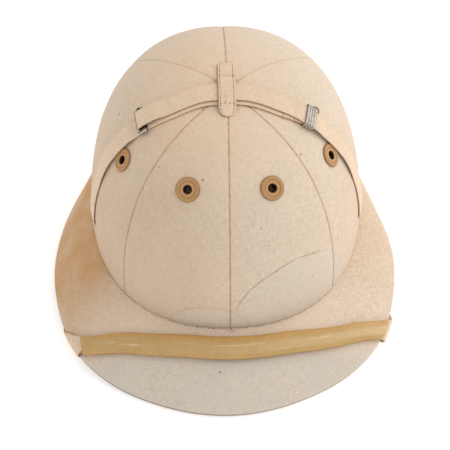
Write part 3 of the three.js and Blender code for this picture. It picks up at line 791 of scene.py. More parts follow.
def stitch_group(name):
    """Geometry nodes that lay stitches of thread along lines, each a little unlike the next."""
    numbers = ("Stitch Length", "Gap", "Thread Radius", "Unevenness", "Stray")
    sockets = {"Lines": "Geometry", **{title: "Float" for title in numbers}, "Seed": "Int",
               "Material": "Material"}
    tree, given, done = new_group(name, sockets, {"Stitches": "Geometry"}, "GeometryNodeTree")

    def node(kind, output, inputs=None, **options):
        return field(tree, "GeometryNode" + kind, output, inputs, **options)

    def random_vector(least, most):
        inputs = {0: least, 1: most, "Seed": given["Seed"]}
        return field(tree, "FunctionNodeRandomValue", 0, inputs, data_type="FLOAT_VECTOR")

    curve = node("MeshToCurve", "Curve", {"Mesh": given["Lines"]})
    pitch = given["Stitch Length"] + given["Gap"]
    evenly = node("ResampleCurve", "Curve", {"Curve": curve, "Length": pitch}, mode="LENGTH")
    stray = random_vector(given["Stray"] * -1, given["Stray"])
    points = node("SetPosition", "Geometry", {"Geometry": evenly, "Offset": stray})
    inputs = {"Vector": node("InputTangent", "Tangent")}
    turn = field(tree, "FunctionNodeAlignRotationToVector", "Rotation", inputs, axis="X")
    radius = given["Thread Radius"]
    inputs = {"X": given["Stitch Length"] * 0.5, "Y": radius, "Z": radius}
    shape = field(tree, "ShaderNodeCombineXYZ", "Vector", inputs)
    vary = random_vector(given["Unevenness"] * -1 + 1, given["Unevenness"] + 1)
    shape = field(tree, "ShaderNodeVectorMath", 0, {0: shape, 1: vary}, operation="MULTIPLY")
    bead = node("MeshUVSphere", "Mesh", {"Segments": 6, "Rings": 6, "Radius": 1})
    lying = node("Transform", "Geometry", {"Geometry": bead, "Rotation": Euler((0, math.pi / 2, 0))})
    inputs = {"Points": points, "Instance": lying, "Rotation": turn, "Scale": shape}
    laid = node("InstanceOnPoints", "Instances", inputs)
    real = node("RealizeInstances", "Geometry", {"Geometry": laid})
    smooth = node("SetShadeSmooth", "Geometry", {"Geometry": real})
    inputs = {"Geometry": smooth, "Material": given["Material"]}
    set_inputs(done, {"Stitches": node("SetMaterial", "Geometry", inputs)})
    return tree


GROUPS = {
    "Shell place": shell_place_group,
    "Plain weave": weave_group,
    "Signs of age": age_group,
    "Water mark": water_group,
    "Stitch rows": stitch_group,
}


# Materials
def new_material(name):
    """Empty material, its tree and its shader, joined to the output."""
    material = bpy.data.materials.new(name)
    material.use_nodes = True
    tree = material.node_tree
    tree.nodes.clear()
    shader = tree.nodes.new("ShaderNodeBsdfPrincipled")
    output = tree.nodes.new("ShaderNodeOutputMaterial")
    tree.links.new(shader.outputs["BSDF"], output.inputs["Surface"])
    return material, tree, shader


def aged_material(name):
    """Empty material, its tree and its shader, with places on the shell and signs of age."""
    material, tree, shader = new_material(name)
    shell = place_group(tree, "Shell place")
    return material, tree, shader, shell, place_group(tree, "Signs of age", {"Place": shell["Place"]})


def bump(height, distance, strength):
    """Normals of a fine relief."""
    inputs = {"Height": height, "Distance": distance, "Strength": strength}
    return field(height.tree, "ShaderNodeBump", "Normal", inputs)


# The marks of each canvas piece are given the same values, so that any of them can go into its material
def crown_marks(tone, finish, shell, age, edges):
    """Crown: tan stain left and at the strap, painted shade low and front left, painted light on a warm top,
    water lines.
    """
    place = shell["Place"].parts()
    left = place["X"].band(25 * MM, -35 * MM)
    at_strap = abs(place["X"]).band(70 * MM, 98 * MM) * place["Y"].band(20 * MM, -15 * MM) * 0.22
    tan = (left * 0.15 + at_strap) * (age["Mottle"] * 0.6 + 0.7)
    # Painted shade: darker on the front left and towards the foot of the crown
    shaded = left * place["Y"].band(-20 * MM, -75 * MM) * 0.1
    low = shell["Height"].band(115 * MM, 55 * MM) * 0.06
    # Painted light with a warmer tone: lighter near the top, except on the right side
    warm_lit_top = shell["Height"].band(92 * MM, 122 * MM) * place["X"].band(75 * MM, 0) * 0.28
    tone = layered(tone, (tan, finish.stain), (shaded + low, finish.soil_and_shade), (warm_lit_top, finish.warm_lit_top))
    wobble = shell["Place"].noise(45)
    broken = shell["Place"].noise(90).band(0.25, 0.55)
    kept = shell["Angle"].band(40, 33)
    for mark, strength in zip(WATER_MARKS, WATER_STRENGTH):
        inputs = {"Angle": shell["Angle"], "Height": shell["Height"], "Wobble": wobble, **mark}
        water = place_group(tone.tree, "Water mark", inputs)
        line = water["Line"] * broken * kept * strength
        tone = layered(tone, (water["Ground"] * 0.25, finish.faded), (line, finish.water))
    return tone


def brim_marks(tone, finish, shell, age, edges):
    """Brim: tan stain at the sides, most on the left, a washed-out peak, painted light by the crown, painted
    shade on the rim.
    """
    side = abs(shell["Angle"])
    place = shell["Place"].parts()
    left = place["X"].band(30 * MM, -60 * MM)
    blotches = shell["Place"].noise(42, 5, 0.6).band(0.33, 0.67)
    turned = (left * 12 + side).band(38, 82) * (side.band(112, 150) * -0.55 + 1)
    tan = turned * (blotches * 0.45 + 0.72) * (left * 0.62 + 0.28)
    # Painted light: the peak made lighter next to the foot of the crown, against the shade in the joint
    light_by_joint = side.band(60, 25) * place["Y"].band(-138 * MM, -118 * MM) * 0.5
    peak = side.band(62, 28) * place["Y"].band(-112 * MM, -138 * MM) * (blotches * 0.25 + 0.42)
    # Painted shade: grey on the lower side of the rolled edge, at the front and most on the left
    rim = edges["X"].band(0.7, 0.2) * (left * 0.5 + 0.4) * side.band(62, 50)
    return layered(tone, (tan, finish.stain), (light_by_joint, shade(finish.canvas, 1.22)), (peak, finish.faded),
                   (rim, finish.rim))


def tab_marks(tone, finish, shell, age, edges):
    """Marks of the keeper tab: tan stain all over, a rusty spot on its right edge and painted shadow along
    its left edge.
    """
    place = shell["Place"].parts()
    spot = abs(place["X"] - 6 * MM).band(3 * MM, 0) * abs(place["Y"] - 11 * MM).band(3 * MM, 0) * 0.6
    # Painted shadow along the left edge, where the tab stands off the strap
    left_edge_shadow = edges["X"].band(0.8 * MM, 0.3 * MM) * 0.75
    return layered(tone, (age["Mottle"] * 0.25 + 0.2, finish.stain), (spot, finish.stain),
                   (left_edge_shadow, finish.soil_and_shade))


def canvas_material(name, finish, marks, grain, light=1):
    """Cream canvas with its weave, stains, dirt in seams, specks and a grain of some contrast; painted shade
    on some edges.
    """
    material, tree, shader, shell, age = aged_material(name)
    inputs = {"Map": uv_map(tree, "weave"), "Threads per Metre": CANVAS_THREADS}
    weave = place_group(tree, "Plain weave", inputs)
    edges = uv_map(tree, "edges").parts()
    place = shell["Place"].parts()
    thin, thick = (shade(finish.canvas, light * part) for part in (1 - grain, 1 + 0.7 * grain))
    rear = place["Y"].band(4 * MM, 16 * MM) * abs(place["X"]).band(6 * MM, 14 * MM)
    kept = rear * -0.7 + 1
    bleached = place["X"].band(15 * MM, 75 * MM) * -0.5 + 0.75
    broken = shell["Place"].noise(330, 2).band(0.35, 0.62)
    tone = layered(
        marks(blend(weave["Tone"], thin, thick), finish, shell, age, edges),
        (age["Grime"] * age["Mottle"] * 0.1, finish.soil_and_shade),
        # Darker near zero on the edges map: dirt along the crown's seams, and painted shade on the brim's rim
        # and the tab's left edge
        (edges["X"].band(1.6 * MM, 0.2 * MM) * kept * 0.3, finish.stain),
        (edges["X"].band(0.5 * MM, 0.12 * MM) * kept * (broken * 0.4 + 0.15), finish.soil_and_shade),
        (edges["Y"].band(0.8 * MM, 0.15 * MM) * bleached * (broken * 0.6 + 0.4), finish.soil_and_shade),
        (age["Specks"] * 0.8, finish.soil_and_shade),
    )
    relief = bump(weave["Height"], 0.1 * MM, 0.5)
    rough = age["Grime"] * 0.08 + 0.88
    set_inputs(shader, {"Base Color": tone, "Roughness": rough, "Normal": relief, **CLOTH})
    return material


def webbing_material(finish, rib_pitch):
    """Cotton webbing with darker grooves between its ribs, brown frayed ends, and dirt with painted shade on
    its front edges.
    """
    material, tree, shader, shell, age = aged_material("cotton_webbing")
    lie = uv_map(tree, "weave")
    weave = place_group(tree, "Plain weave", {"Map": lie, "Threads per Metre": WEBBING_THREADS})
    along, across = (lie.parts()[axis] for axis in "XY")
    edges = uv_map(tree, "edges").parts()
    rib = (along * (math.pi / rib_pitch)).math("SINE")
    on_crown = shell["Height"].band(-4 * MM, 6 * MM) * 0.8 + 0.2
    forward = (across.band(-2 * MM, 2 * MM) * 0.8 + 0.2) * on_crown
    ragged = shell["Place"].noise(420) * 0.5 + 0.75
    tone = layered(
        blend(weave["Tone"], shade(finish.webbing, 0.88), shade(finish.webbing, 1.06)),
        (abs(rib).band(0.55, 0) * 0.25, finish.stain),
        # Dirt with painted shade on the front side faces over the crown: brown, darkest at their foot
        (edges["X"].band(2.1 * MM, 1.3 * MM) * forward * 0.6, shade(finish.soil_and_shade, 1.7)),
        (edges["X"].band(0.8 * MM, 0.35 * MM) * forward * ragged, shade(finish.soil_and_shade, 0.6)),
        (edges["Y"].band(1 * MM, 0.5 * MM) * 0.85, shade(finish.soil_and_shade, 0.5)),
        (across.band(-4.5 * MM, -7.5 * MM) * 0.22, finish.stain),
        (age["Grime"] * age["Mottle"] * 0.2, finish.stain),
    )
    relief = bump(weave["Height"], 0.12 * MM, 0.6)
    set_inputs(shader, {"Base Color": tone, "Roughness": 0.92, "Normal": relief, **CLOTH})
    return material


def leather_material(finish, guard):
    """Tan leather: golden along its middle, richer near its edges, with painted highlights and darker edges
    partly of painted shade.
    """
    material, tree, shader, shell, age = aged_material("tan_leather")
    lie = uv_map(tree, "weave")
    across = lie.parts()["Y"] / guard.half_width
    blotch = shell["Place"].noise(90, 4, 0.6)
    streak = lie.scaled(28, 330, 1).noise(1, 2)
    scuffs = lie.scaled(240, 420, 1).noise(1, 4, 0.7)
    inside = abs(across - 0.15).band(0.6, 0.2)
    # Painted highlight: pale streaks along the middle, and painted light towards the right end
    right = shell["Place"].parts()["X"].band(-80 * MM, 110 * MM)
    highlighted = (streak.band(0.54, 0.68) * inside * 0.8).math("MAXIMUM", right * inside * 0.4)
    tone = layered(
        blend((blotch * 0.5 + across).band(0.05, -0.5), finish.leather, finish.rich),
        (across.band(0.6, 0.95) * 0.6, finish.rich),
        (blotch.band(0.35, 0.7) * 0.3, shade(finish.leather, 0.75)),
        (highlighted, finish.worn),
        (scuffs.band(0.5, 0.75) * 0.3, finish.soil_and_shade),
        # Darker at both edges: dirt with painted shade where the leather turns down
        (abs(across).band(0.93, 1) * 0.45, finish.soil_and_shade),
    )
    grain = field(tree, "ShaderNodeTexVoronoi", "Distance", {"Vector": shell["Place"], "Scale": 1400})
    relief = bump(grain, 0.08 * MM, 0.5)
    set_inputs(shader, {"Base Color": tone, "Roughness": age["Grime"] * 0.16 + 0.36, "Normal": relief})
    return material


def wood_material(finish):
    """Turned wood, with the rings of the lathe, a painted highlight on its inner bead, darker in its groove,
    painted shade at its rim and bore.
    """
    material, tree, shader, _, age = aged_material("turned_wood")
    reach = uv_map(tree, "turning").parts()["X"]
    rings = (reach * 7000).math("SINE")
    tone = layered(
        blend(rings * 0.05 + 0.06, finish.wood, finish.soil_and_shade),
        # Painted highlight on the inner bead round the bore
        (reach.band(5.2 * MM, 4.7 * MM) * 0.4, shade(finish.wood, 1.3)),
        (abs(reach - 5.45 * MM).band(0.5 * MM, 0.1 * MM) * 0.4, finish.soil_and_shade),
        # Darker rim: its own tone with painted shade
        (reach.band(7.5 * MM, 8.1 * MM) * 0.7, finish.soil_and_shade),
        # Painted shade: the bore made black
        (reach.band(3.35 * MM, 3.05 * MM), shade(finish.soil_and_shade, 0.12)),
        (age["Grime"] * 0.2, finish.soil_and_shade),
    )
    set_inputs(shader, {"Base Color": tone, "Roughness": 0.42, "Normal": bump(rings, 0.03 * MM, 0.4)})
    return material


def nickel_material(finish):
    """Tarnished nickel, darkened by a mask of grime and painted shade."""
    material, tree, shader, _, age = aged_material("tarnished_nickel")
    tarnish_and_shade = shade(finish.nickel, 0.1)
    # Mask of grime and painted shade, from the slides' map
    grime_and_shade = uv_map(tree, "edges").parts()["X"]
    tone = layered(blend(age["Grime"] * 0.25, finish.nickel, tarnish_and_shade), (grime_and_shade * 0.9, tarnish_and_shade))
    set_inputs(shader, {"Base Color": tone, "Roughness": age["Grime"] * 0.3 + 0.25, "Metallic": 1})
    return material


def thread_material(finish):
    """Brown thread, bleached on the right side of the helmet. It is made once."""
    name = "sewing_thread"
    if name in bpy.data.materials:
        return bpy.data.materials[name]
    material, tree, shader = new_material(name)
    across = place_group(tree, "Shell place")["Place"].parts()["X"]
    tone = blend(across.band(0, 45 * MM), finish.thread, finish.stain)
    set_inputs(shader, {"Base Color": tone, "Roughness": 0.8})
    return material


def sew(name, lines, finish):
    """Piece with a named row of stitches along lines, each a run of points in the shell's frame."""
    points = np.concatenate(lines)
    starts = set(np.cumsum([len(line) for line in lines]).tolist())
    edges = [(index - 1, index) for index in range(1, len(points)) if index not in starts]
    mesh = bpy.data.meshes.new(name + "_lines")
    mesh.from_pydata(stood(points).tolist(), edges, [])
    rows = add_object(name + "_lines", mesh)
    modifier = rows.modifiers.new("stitches", "NODES")
    modifier.node_group = shared_group("Stitch rows")
    length, gap, radius, uneven, stray = STITCHES[name]
    thread = thread_material(finish)
    values = {"Stitch Length": length * MM, "Gap": gap * MM, "Thread Radius": radius * MM,
              "Unevenness": uneven, "Stray": stray * MM, "Seed": STITCH_SEED, "Material": thread}
    for socket in modifier.node_group.interface.items_tree:
        if socket.in_out == "INPUT" and socket.name in values:
            modifier[socket.identifier] = values[socket.name]
    make_piece(name + "_stitches", taken_mesh(rows), thread)


# Crown
def seam_angle(name, sign, shrink):
    """Angle of a seam of one half, where the distance from the axis has shrunk to a share of the foot's."""
    seam = SEAMS[name]
    return sign * (seam["foot"] + seam["bow"] * 4 * shrink * (1 - shrink))


def gore_columns(count):
    """Shares across a gore, close together at its seams."""
    even = np.linspace(0, 1, count + 1)
    return mix(even, 0.5 - 0.5 * np.cos(math.pi * even), SEAM_CROWDING)


def gore_turns(shell, fine_steps=4000):
    """Turns from the foot to the tip that give rows at even distances, with more rows at the foot."""
    crown = shell.crown
    turns = np.concatenate([[0], np.geomspace(1e-6, 1, fine_steps)]) * math.pi / 2
    radius = crown.front_length * np.cos(turns) ** (2 / crown.rise_power)
    height = crown.height * np.sin(turns) ** (2 / crown.rise_power)
    length = run_length(np.stack([radius, height], axis=-1))
    above = np.linspace(FOOT_ROWS[-1], length[-1], GORE_ROWS + 1)[1:-1]
    rows = np.concatenate([FOOT_ROWS, above, [length[-1] - TIP_GAP]])
    return np.interp(rows, length, turns)


def gore_mesh(shell, name, seams, sign, columns):
    """One gore as a closed curved wall, a little proud between its seams and turned in along them."""
    crown = shell.crown
    relief = GORE_RELIEF
    across = gore_columns(columns)[None, :]
    shrink = np.cos(gore_turns(shell)[:, None]) ** (2 / crown.rise_power)
    start, end = sorted((seam_angle(seam, sign, shrink) for seam in seams), key=lambda angles: angles[0, 0])
    middle = shell.foot_radius(mix(start, end, across))
    half_gap = np.degrees(crown.seam_gap / 2 / (middle * shrink))
    angle = mix(start + half_gap, end - half_gap, across)
    turn = np.radians(angle)
    reach = shell.foot_radius(angle) * shrink
    base = shell.crown_at(reach * np.sin(turn) + POLE_X * (1 - shrink), -reach * np.cos(turn))
    base[0, :, 2] = 0
    normal = shell.crown_normal(base)
    width = run_length(base.swapaxes(0, 1)).swapaxes(0, 1)
    to_seam = np.minimum(width, width[:, -1:] - width)
    from_foot = run_length(base)
    off_seam = 1 - np.exp(-to_seam / relief["puff_from_seam"])
    rise = crown.puff * off_seam * ease(from_foot, 0, relief["puff_from_foot"])
    rise = rise - crown.seam_dip * hump(to_seam, 0, relief["seam_turn"])
    rise = rise - crown.foot_dip * hump(from_foot, 0, relief["foot_turn"])
    rise = rise + relief["wave_height"] * unevenness(base, relief["wave_size"], relief["wave_seed"])
    outer = base + normal * rise[..., None]
    inner = base - normal * crown.wall
    rows, count = base.shape[:2]
    outside = grid_faces(rows, count)
    inside = outside[:, ::-1] + rows * count
    index = np.arange(rows * count).reshape(rows, count)
    rim = np.concatenate([index[0, :], index[1:, -1], index[-1, -2::-1], index[-2:0:-1, 0]])
    walls = np.stack([rim, np.roll(rim, -1), np.roll(rim, -1) + rows * count, rim + rows * count], axis=-1)
    faces = np.concatenate([outside, inside, walls[:, ::-1]])
    weave = map_of(width - width[:, -1:] / 2, from_foot)
    edges = map_of(to_seam, from_foot)
    maps = {"weave": np.concatenate([weave, weave]), "edges": np.concatenate([edges, edges + 1])}
    points = np.concatenate([outer.reshape(-1, 3), inner.reshape(-1, 3)])
    return make_mesh(name, stood(points), faces, maps)


def eyelet_seat(shell, name, sign):
    """Point of the crown under an eyelet, and the eyelet's axis."""
    eyelet = EYELETS[name]
    place = shell.crown_at(np.array(eyelet["middle"] + sign * eyelet["apart"]), np.array(eyelet["y"]))
    return place, shell.crown_normal(place)


def eyelet_hole(shell, fittings, name, sign):
    """Round cutter for the barrel of an eyelet."""
    place, axis = eyelet_seat(shell, name, sign)
    ring = place + ring_about(axis, EYELET_HOLE["sides"]) * fittings.hole_radius
    depth = axis * EYELET_HOLE["half_depth"]
    points, faces = closed_tube(np.stack([ring - depth, ring + depth]))
    return make_mesh("eyelet_hole", stood(points), faces)


def strap_slit(shell, strap, sign):
    """Way of the webbing through the wall, with clearance all round."""
    lifts = UPPER_LIFT if sign > 0 else LOWER_LIFT
    angles = sign * np.linspace(SLIT["start"], SLIT["end"], SLIT["rows"])[:, None]
    clear = SLIT["clearance"]
    sides = np.linspace(-1, 1, SLIT["columns"]) * (strap.width / 2 + clear)
    sides = np.concatenate([sides, sides[::-1]])[None, :]
    heights = np.repeat([-clear, strap.thickness + clear], SLIT["columns"])[None, :]
    points, faces = closed_tube(crown_tape(shell, angles, lifts, 0, sides, heights))
    return make_mesh("strap_slit", stood(points), faces)


class HELMET_OT_crown(bpy.types.Operator):
    """Make the six canvas gores of the crown, with holes for the vents and slits for the strap"""

    bl_idname = "helmet.crown"
    bl_label = "Crown Gores"

    grain = 0.12

    def execute(self, context):
        settings = context.scene.polo_helmet
        shell = Shell(settings)
        canvas = canvas_material("crown_canvas", settings.finish, crown_marks, self.grain)
        for gore, sizes in GORES.items():
            for side, sign in SIDES.items():
                name = f"crown_gore_{gore}_{side}"
                mesh = gore_mesh(shell, name, sizes["seams"], sign, sizes["columns"])
                cutters = [eyelet_hole(shell, settings.fittings, gore, sign)] if gore in EYELETS else []
                if gore == "side":
                    cutters.append(strap_slit(shell, settings.strap, sign))
                if cutters:
                    mesh = cut_mesh(mesh, cutters)
                make_piece(name + "_canvas", mesh, canvas, [name])
        return {"FINISHED"}


class HELMET_OT_brim(bpy.types.Operator):
    """Make the brim and the row of stitches that joins it to the crown"""

    bl_idname = "helmet.brim"
    bl_label = "Brim"

    # Points of its section: shares of its width below and above, and turns round its edge
    lower_shares = np.linspace(0.06, 0.99, 14)
    upper_shares = np.concatenate([np.linspace(0.99, 0.08, 34), [0.06, 0.045, 0.035]])
    edge_turns = np.radians(np.linspace(-80, 80, 11))
    # Points from the lower face round the edge that take the painted shade of the rim
    rim_shade_points = 8
    # Where it meets the foot of the crown: outwards, down and inwards from there
    root = {"out": 0.2 * MM, "down": 0.55 * MM, "in": 0.8 * MM}
    wave = {"height": 0.25 * MM, "size": 45 * MM, "seed": 8, "start": 2 * MM, "full": 12 * MM}
    grain = 0.19
    joint_steps = 721
    joint_out = 0.4 * MM
    # Stitches pulled out like a star: spread of each ray and the middle in degrees, and the reach
    star_spreads = (-1.2, -0.6, 0, 0.6, 1.2)
    star = {"middle": 0.4, "start": 0.15, "near": 0.5 * MM, "far": 2.9 * MM, "points": 9}

    def outline(self, shell, section):
        """Closed section of the brim, from its inner edge out below and back on top."""
        foot = section["foot"][:, 0]
        inner = foot - shell.crown.wall
        none = np.zeros((1, 1))
        below = shell.brim_face(section, self.lower_shares[None, :], -1, none)
        edge = shell.round_edge(section, self.edge_turns[None, :], none)
        above = shell.brim_face(section, self.upper_shares[None, :], 1, none)
        pairs = [(foot + self.root["out"], -self.root["down"]), (foot - self.root["in"], -JOINT_GAP),
                 (inner, -JOINT_GAP), (inner, -JOINT_GAP - shell.brim.inner_height)]
        hidden = np.stack([np.stack(np.broadcast_arrays(reach, z), axis=-1) for reach, z in pairs], axis=1)
        return np.concatenate([below, edge, above, hidden], axis=1)

    def joint_line(self, shell, angles, out):
        """Line on the brim along the foot of the crown, a distance away from it."""
        section = shell.section(angles)
        share = out / section["length"][..., 0]
        return on_turn(angles, shell.brim_face(section, share, 1, np.zeros_like(share)))

    def execute(self, context):
        settings = context.scene.polo_helmet
        shell = Shell(settings)
        wave = self.wave
        angles = np.linspace(0, 360, shell.brim.segments, endpoint=False)[:, None]
        section = shell.section(angles)
        flat = self.outline(shell, section)
        points = on_turn(angles, flat)
        from_foot = flat[..., 0] - section["foot"]
        first = len(self.lower_shares)
        first_above = first + len(self.edge_turns)
        on_top = np.zeros(flat.shape[1])
        on_top[first_above:first_above + len(self.upper_shares)] = 1
        uneven = unevenness(points, wave["size"], wave["seed"]) * ease(from_foot, wave["start"], wave["full"])
        points[..., 2] += wave["height"] * uneven * on_top
        placed = stood(points)
        placed[..., 2] = np.maximum(placed[..., 2], 0)
        # The edges map marks those points for the rim's painted shade, and gives the distance from the foot
        # on top
        off_rim_shade = np.ones(flat.shape[1])
        off_rim_shade[first:first + self.rim_shade_points] = 0
        edges = map_of(off_rim_shade, np.where(on_top > 0, np.abs(from_foot), 1))
        maps = {"weave": points[..., :2].reshape(-1, 2), "edges": edges}
        faces = grid_faces(*flat.shape[:2], close_rows=True, close_columns=True)
        mesh = make_mesh("brim_canvas", placed.reshape(-1, 3), faces, maps)
        canvas = canvas_material("brim_canvas", settings.finish, brim_marks, self.grain)
        make_piece("brim_canvas", mesh, canvas, ["brim"])
        around = np.linspace(0, 360, self.joint_steps)
        sew("joint", [self.joint_line(shell, around, np.full_like(around, self.joint_out))], settings.finish)
        sew("star", self.star_lines(shell), settings.finish)
        return {"FINISHED"}

    def star_lines(self, shell):
        """Lines of the star, where the centre seam meets the brim."""
        star = self.star
        lines = []
        for spread in self.star_spreads:
            angles = star["middle"] + np.linspace(star["start"], 1, star["points"]) * spread
            out = np.linspace(star["near"], star["far"] - abs(spread) * MM, star["points"])
            lines.append(self.joint_line(shell, angles, out))
        return lines


class HELMET_OT_eyelets(bpy.types.Operator):
    """Make the four turned eyelets of the vents"""

    bl_idname = "helmet.eyelets"
    bl_label = "Eyelet Vents"

    sides = 72
    seat_points = 8
    seat_gap = 0.45 * MM
    seat_curvature = 100 * MM

    def execute(self, context):
        settings = context.scene.polo_helmet
        fittings = settings.fittings
        shell = Shell(settings)
        wood = wood_material(settings.finish)
        face = np.array(list(EYELET_FACE.items())) * MM
        under = np.linspace(fittings.barrel_radius, face[0, 0], self.seat_points)
        seat = self.seat_gap - under**2 / (2 * self.seat_curvature)
        bottom = -fittings.barrel_depth
        barrel = [(fittings.bore_radius, bottom), (fittings.barrel_radius, bottom)]
        profile = np.concatenate([barrel, np.stack([under, seat], axis=-1), face])
        for name in EYELETS:
            for side, sign in SIDES.items():
                node = f"eyelet_{name}_{side}"
                mesh = lathe_mesh(node + "_wood", profile, self.sides, *eyelet_seat(shell, name, sign))
                make_piece(node + "_wood", mesh, wood, [node])
        return {"FINISHED"}


# Webbing and chin guard
def crown_tape(shell, angles, lifts, layer_shift, sides, heights):
    """Points of the webbing over the crown, to the side of its middle and over its lower face."""
    lift = from_table(lifts, angles) * MM
    shift = layer_shift - from_table(SWAY, np.abs(angles)) * MM
    middle = shell.over_crown(angles, -shift, 0)
    reached = np.linalg.norm(shell.over_crown(angles, sides - shift, 0) - middle, axis=-1)
    spread = np.where(sides == 0, 1, np.abs(sides) / np.maximum(reached, 1e-9))
    return shell.over_crown(angles, sides * spread - shift, lift + heights)


def brim_route(step, knot_steps=60):
    """Places and headings at even steps along the route on the brim: angle in degrees, edge distance."""
    scale = np.array([ROUTE_MM_PER_DEGREE, 1])
    knots = np.array(BRIM_ROUTE) * scale
    ends = np.concatenate([knots[:1], knots, knots[-1:]])
    share = np.linspace(0, 1, knot_steps, endpoint=False)[:, None]
    runs = [smooth_between(*ends[row:row + 4], share) for row in range(len(knots) - 1)]
    curve = np.concatenate([*runs, knots[-1:]])
    length = run_length(curve)
    places = np.linspace(0, length[-1], int(length[-1] * MM / step) + 1)
    even = np.stack([np.interp(places, length, curve[:, axis]) for axis in range(2)], axis=-1) / scale
    even = even * (1, MM)
    return even[:, :1], even[:, 1:], np.gradient(even, axis=0)


def guard_clearance(guard, angles):
    """Distance from the nearer end of the chin guard to the edge of the brim."""
    return np.where(angles > 0, guard.right_clearance, guard.left_clearance)


def onto_brim(guard, angles, edges):
    """0 below the edge of the brim, 1 from the end of the chin guard on."""
    return ease(edges, ROUTE["ramp_start"], guard_clearance(guard, angles))


def brim_lift(settings, angles, edges):
    """Height of the webbing over the brim: it rises from the edge into the middle of the chin guard."""
    guard = settings.guard
    inside = guard.seat + guard.half_height - settings.strap.thickness / 2
    return mix(ROUTE["lift"], inside, onto_brim(guard, angles, edges))


def drawn_share(guard, angles, edges):
    """Share of its width that the webbing keeps where the chin guard draws it in."""
    return mix(1, ROUTE["drawn_in"], onto_brim(guard, angles, edges))


def brim_places(shell, guard, angles, edges, headings):
    """Function that gives points to the side of the route and over the brim."""
    step = 0.05
    apart = shell.brim_skin(angles, edges, 0) - shell.brim_skin(angles + step, edges, 0)
    per_degree = np.linalg.norm(apart, axis=-1) / step
    along = unit(np.concatenate([headings[:, :1] * per_degree, headings[:, 1:]], axis=-1))
    end_lean = np.where(angles > 0, guard.right_lean, guard.left_lean)
    near_edge = 1 - ease(np.abs(edges), ROUTE["edge_zone"], ROUTE["lean_zone"])
    near_edge = near_edge * mix(1, end_lean, ease(edges, 0, guard_clearance(guard, angles)))
    safe = np.where(np.abs(along[:, 1:]) < 1e-6, 1, along[:, 1:])
    lean = np.where(near_edge > 0, -along[:, :1] / safe * near_edge, 0)
    row = np.stack([-along[:, 1], along[:, 0]], axis=-1) + along * lean

    def place(sides, lift, rounded_edge=True):
        turned = angles + row[:, :1] * sides / per_degree
        return shell.brim_skin(turned, edges + row[:, 1:] * sides, lift, rounded_edge)

    return place


def bend(start, before, end, after, steps):
    """Rows of points on a smooth bend from one row to another, each given with a row beside it."""
    share = np.linspace(0, 1, steps + 1)[1:-1, None, None]
    leave = start + unit(start - before) * BEND_REACH
    arrive = end - unit(after - end) * BEND_REACH
    return ((1 - share) ** 3 * start + 3 * (1 - share) ** 2 * share * leave
            + 3 * (1 - share) * share**2 * arrive + share**3 * end)


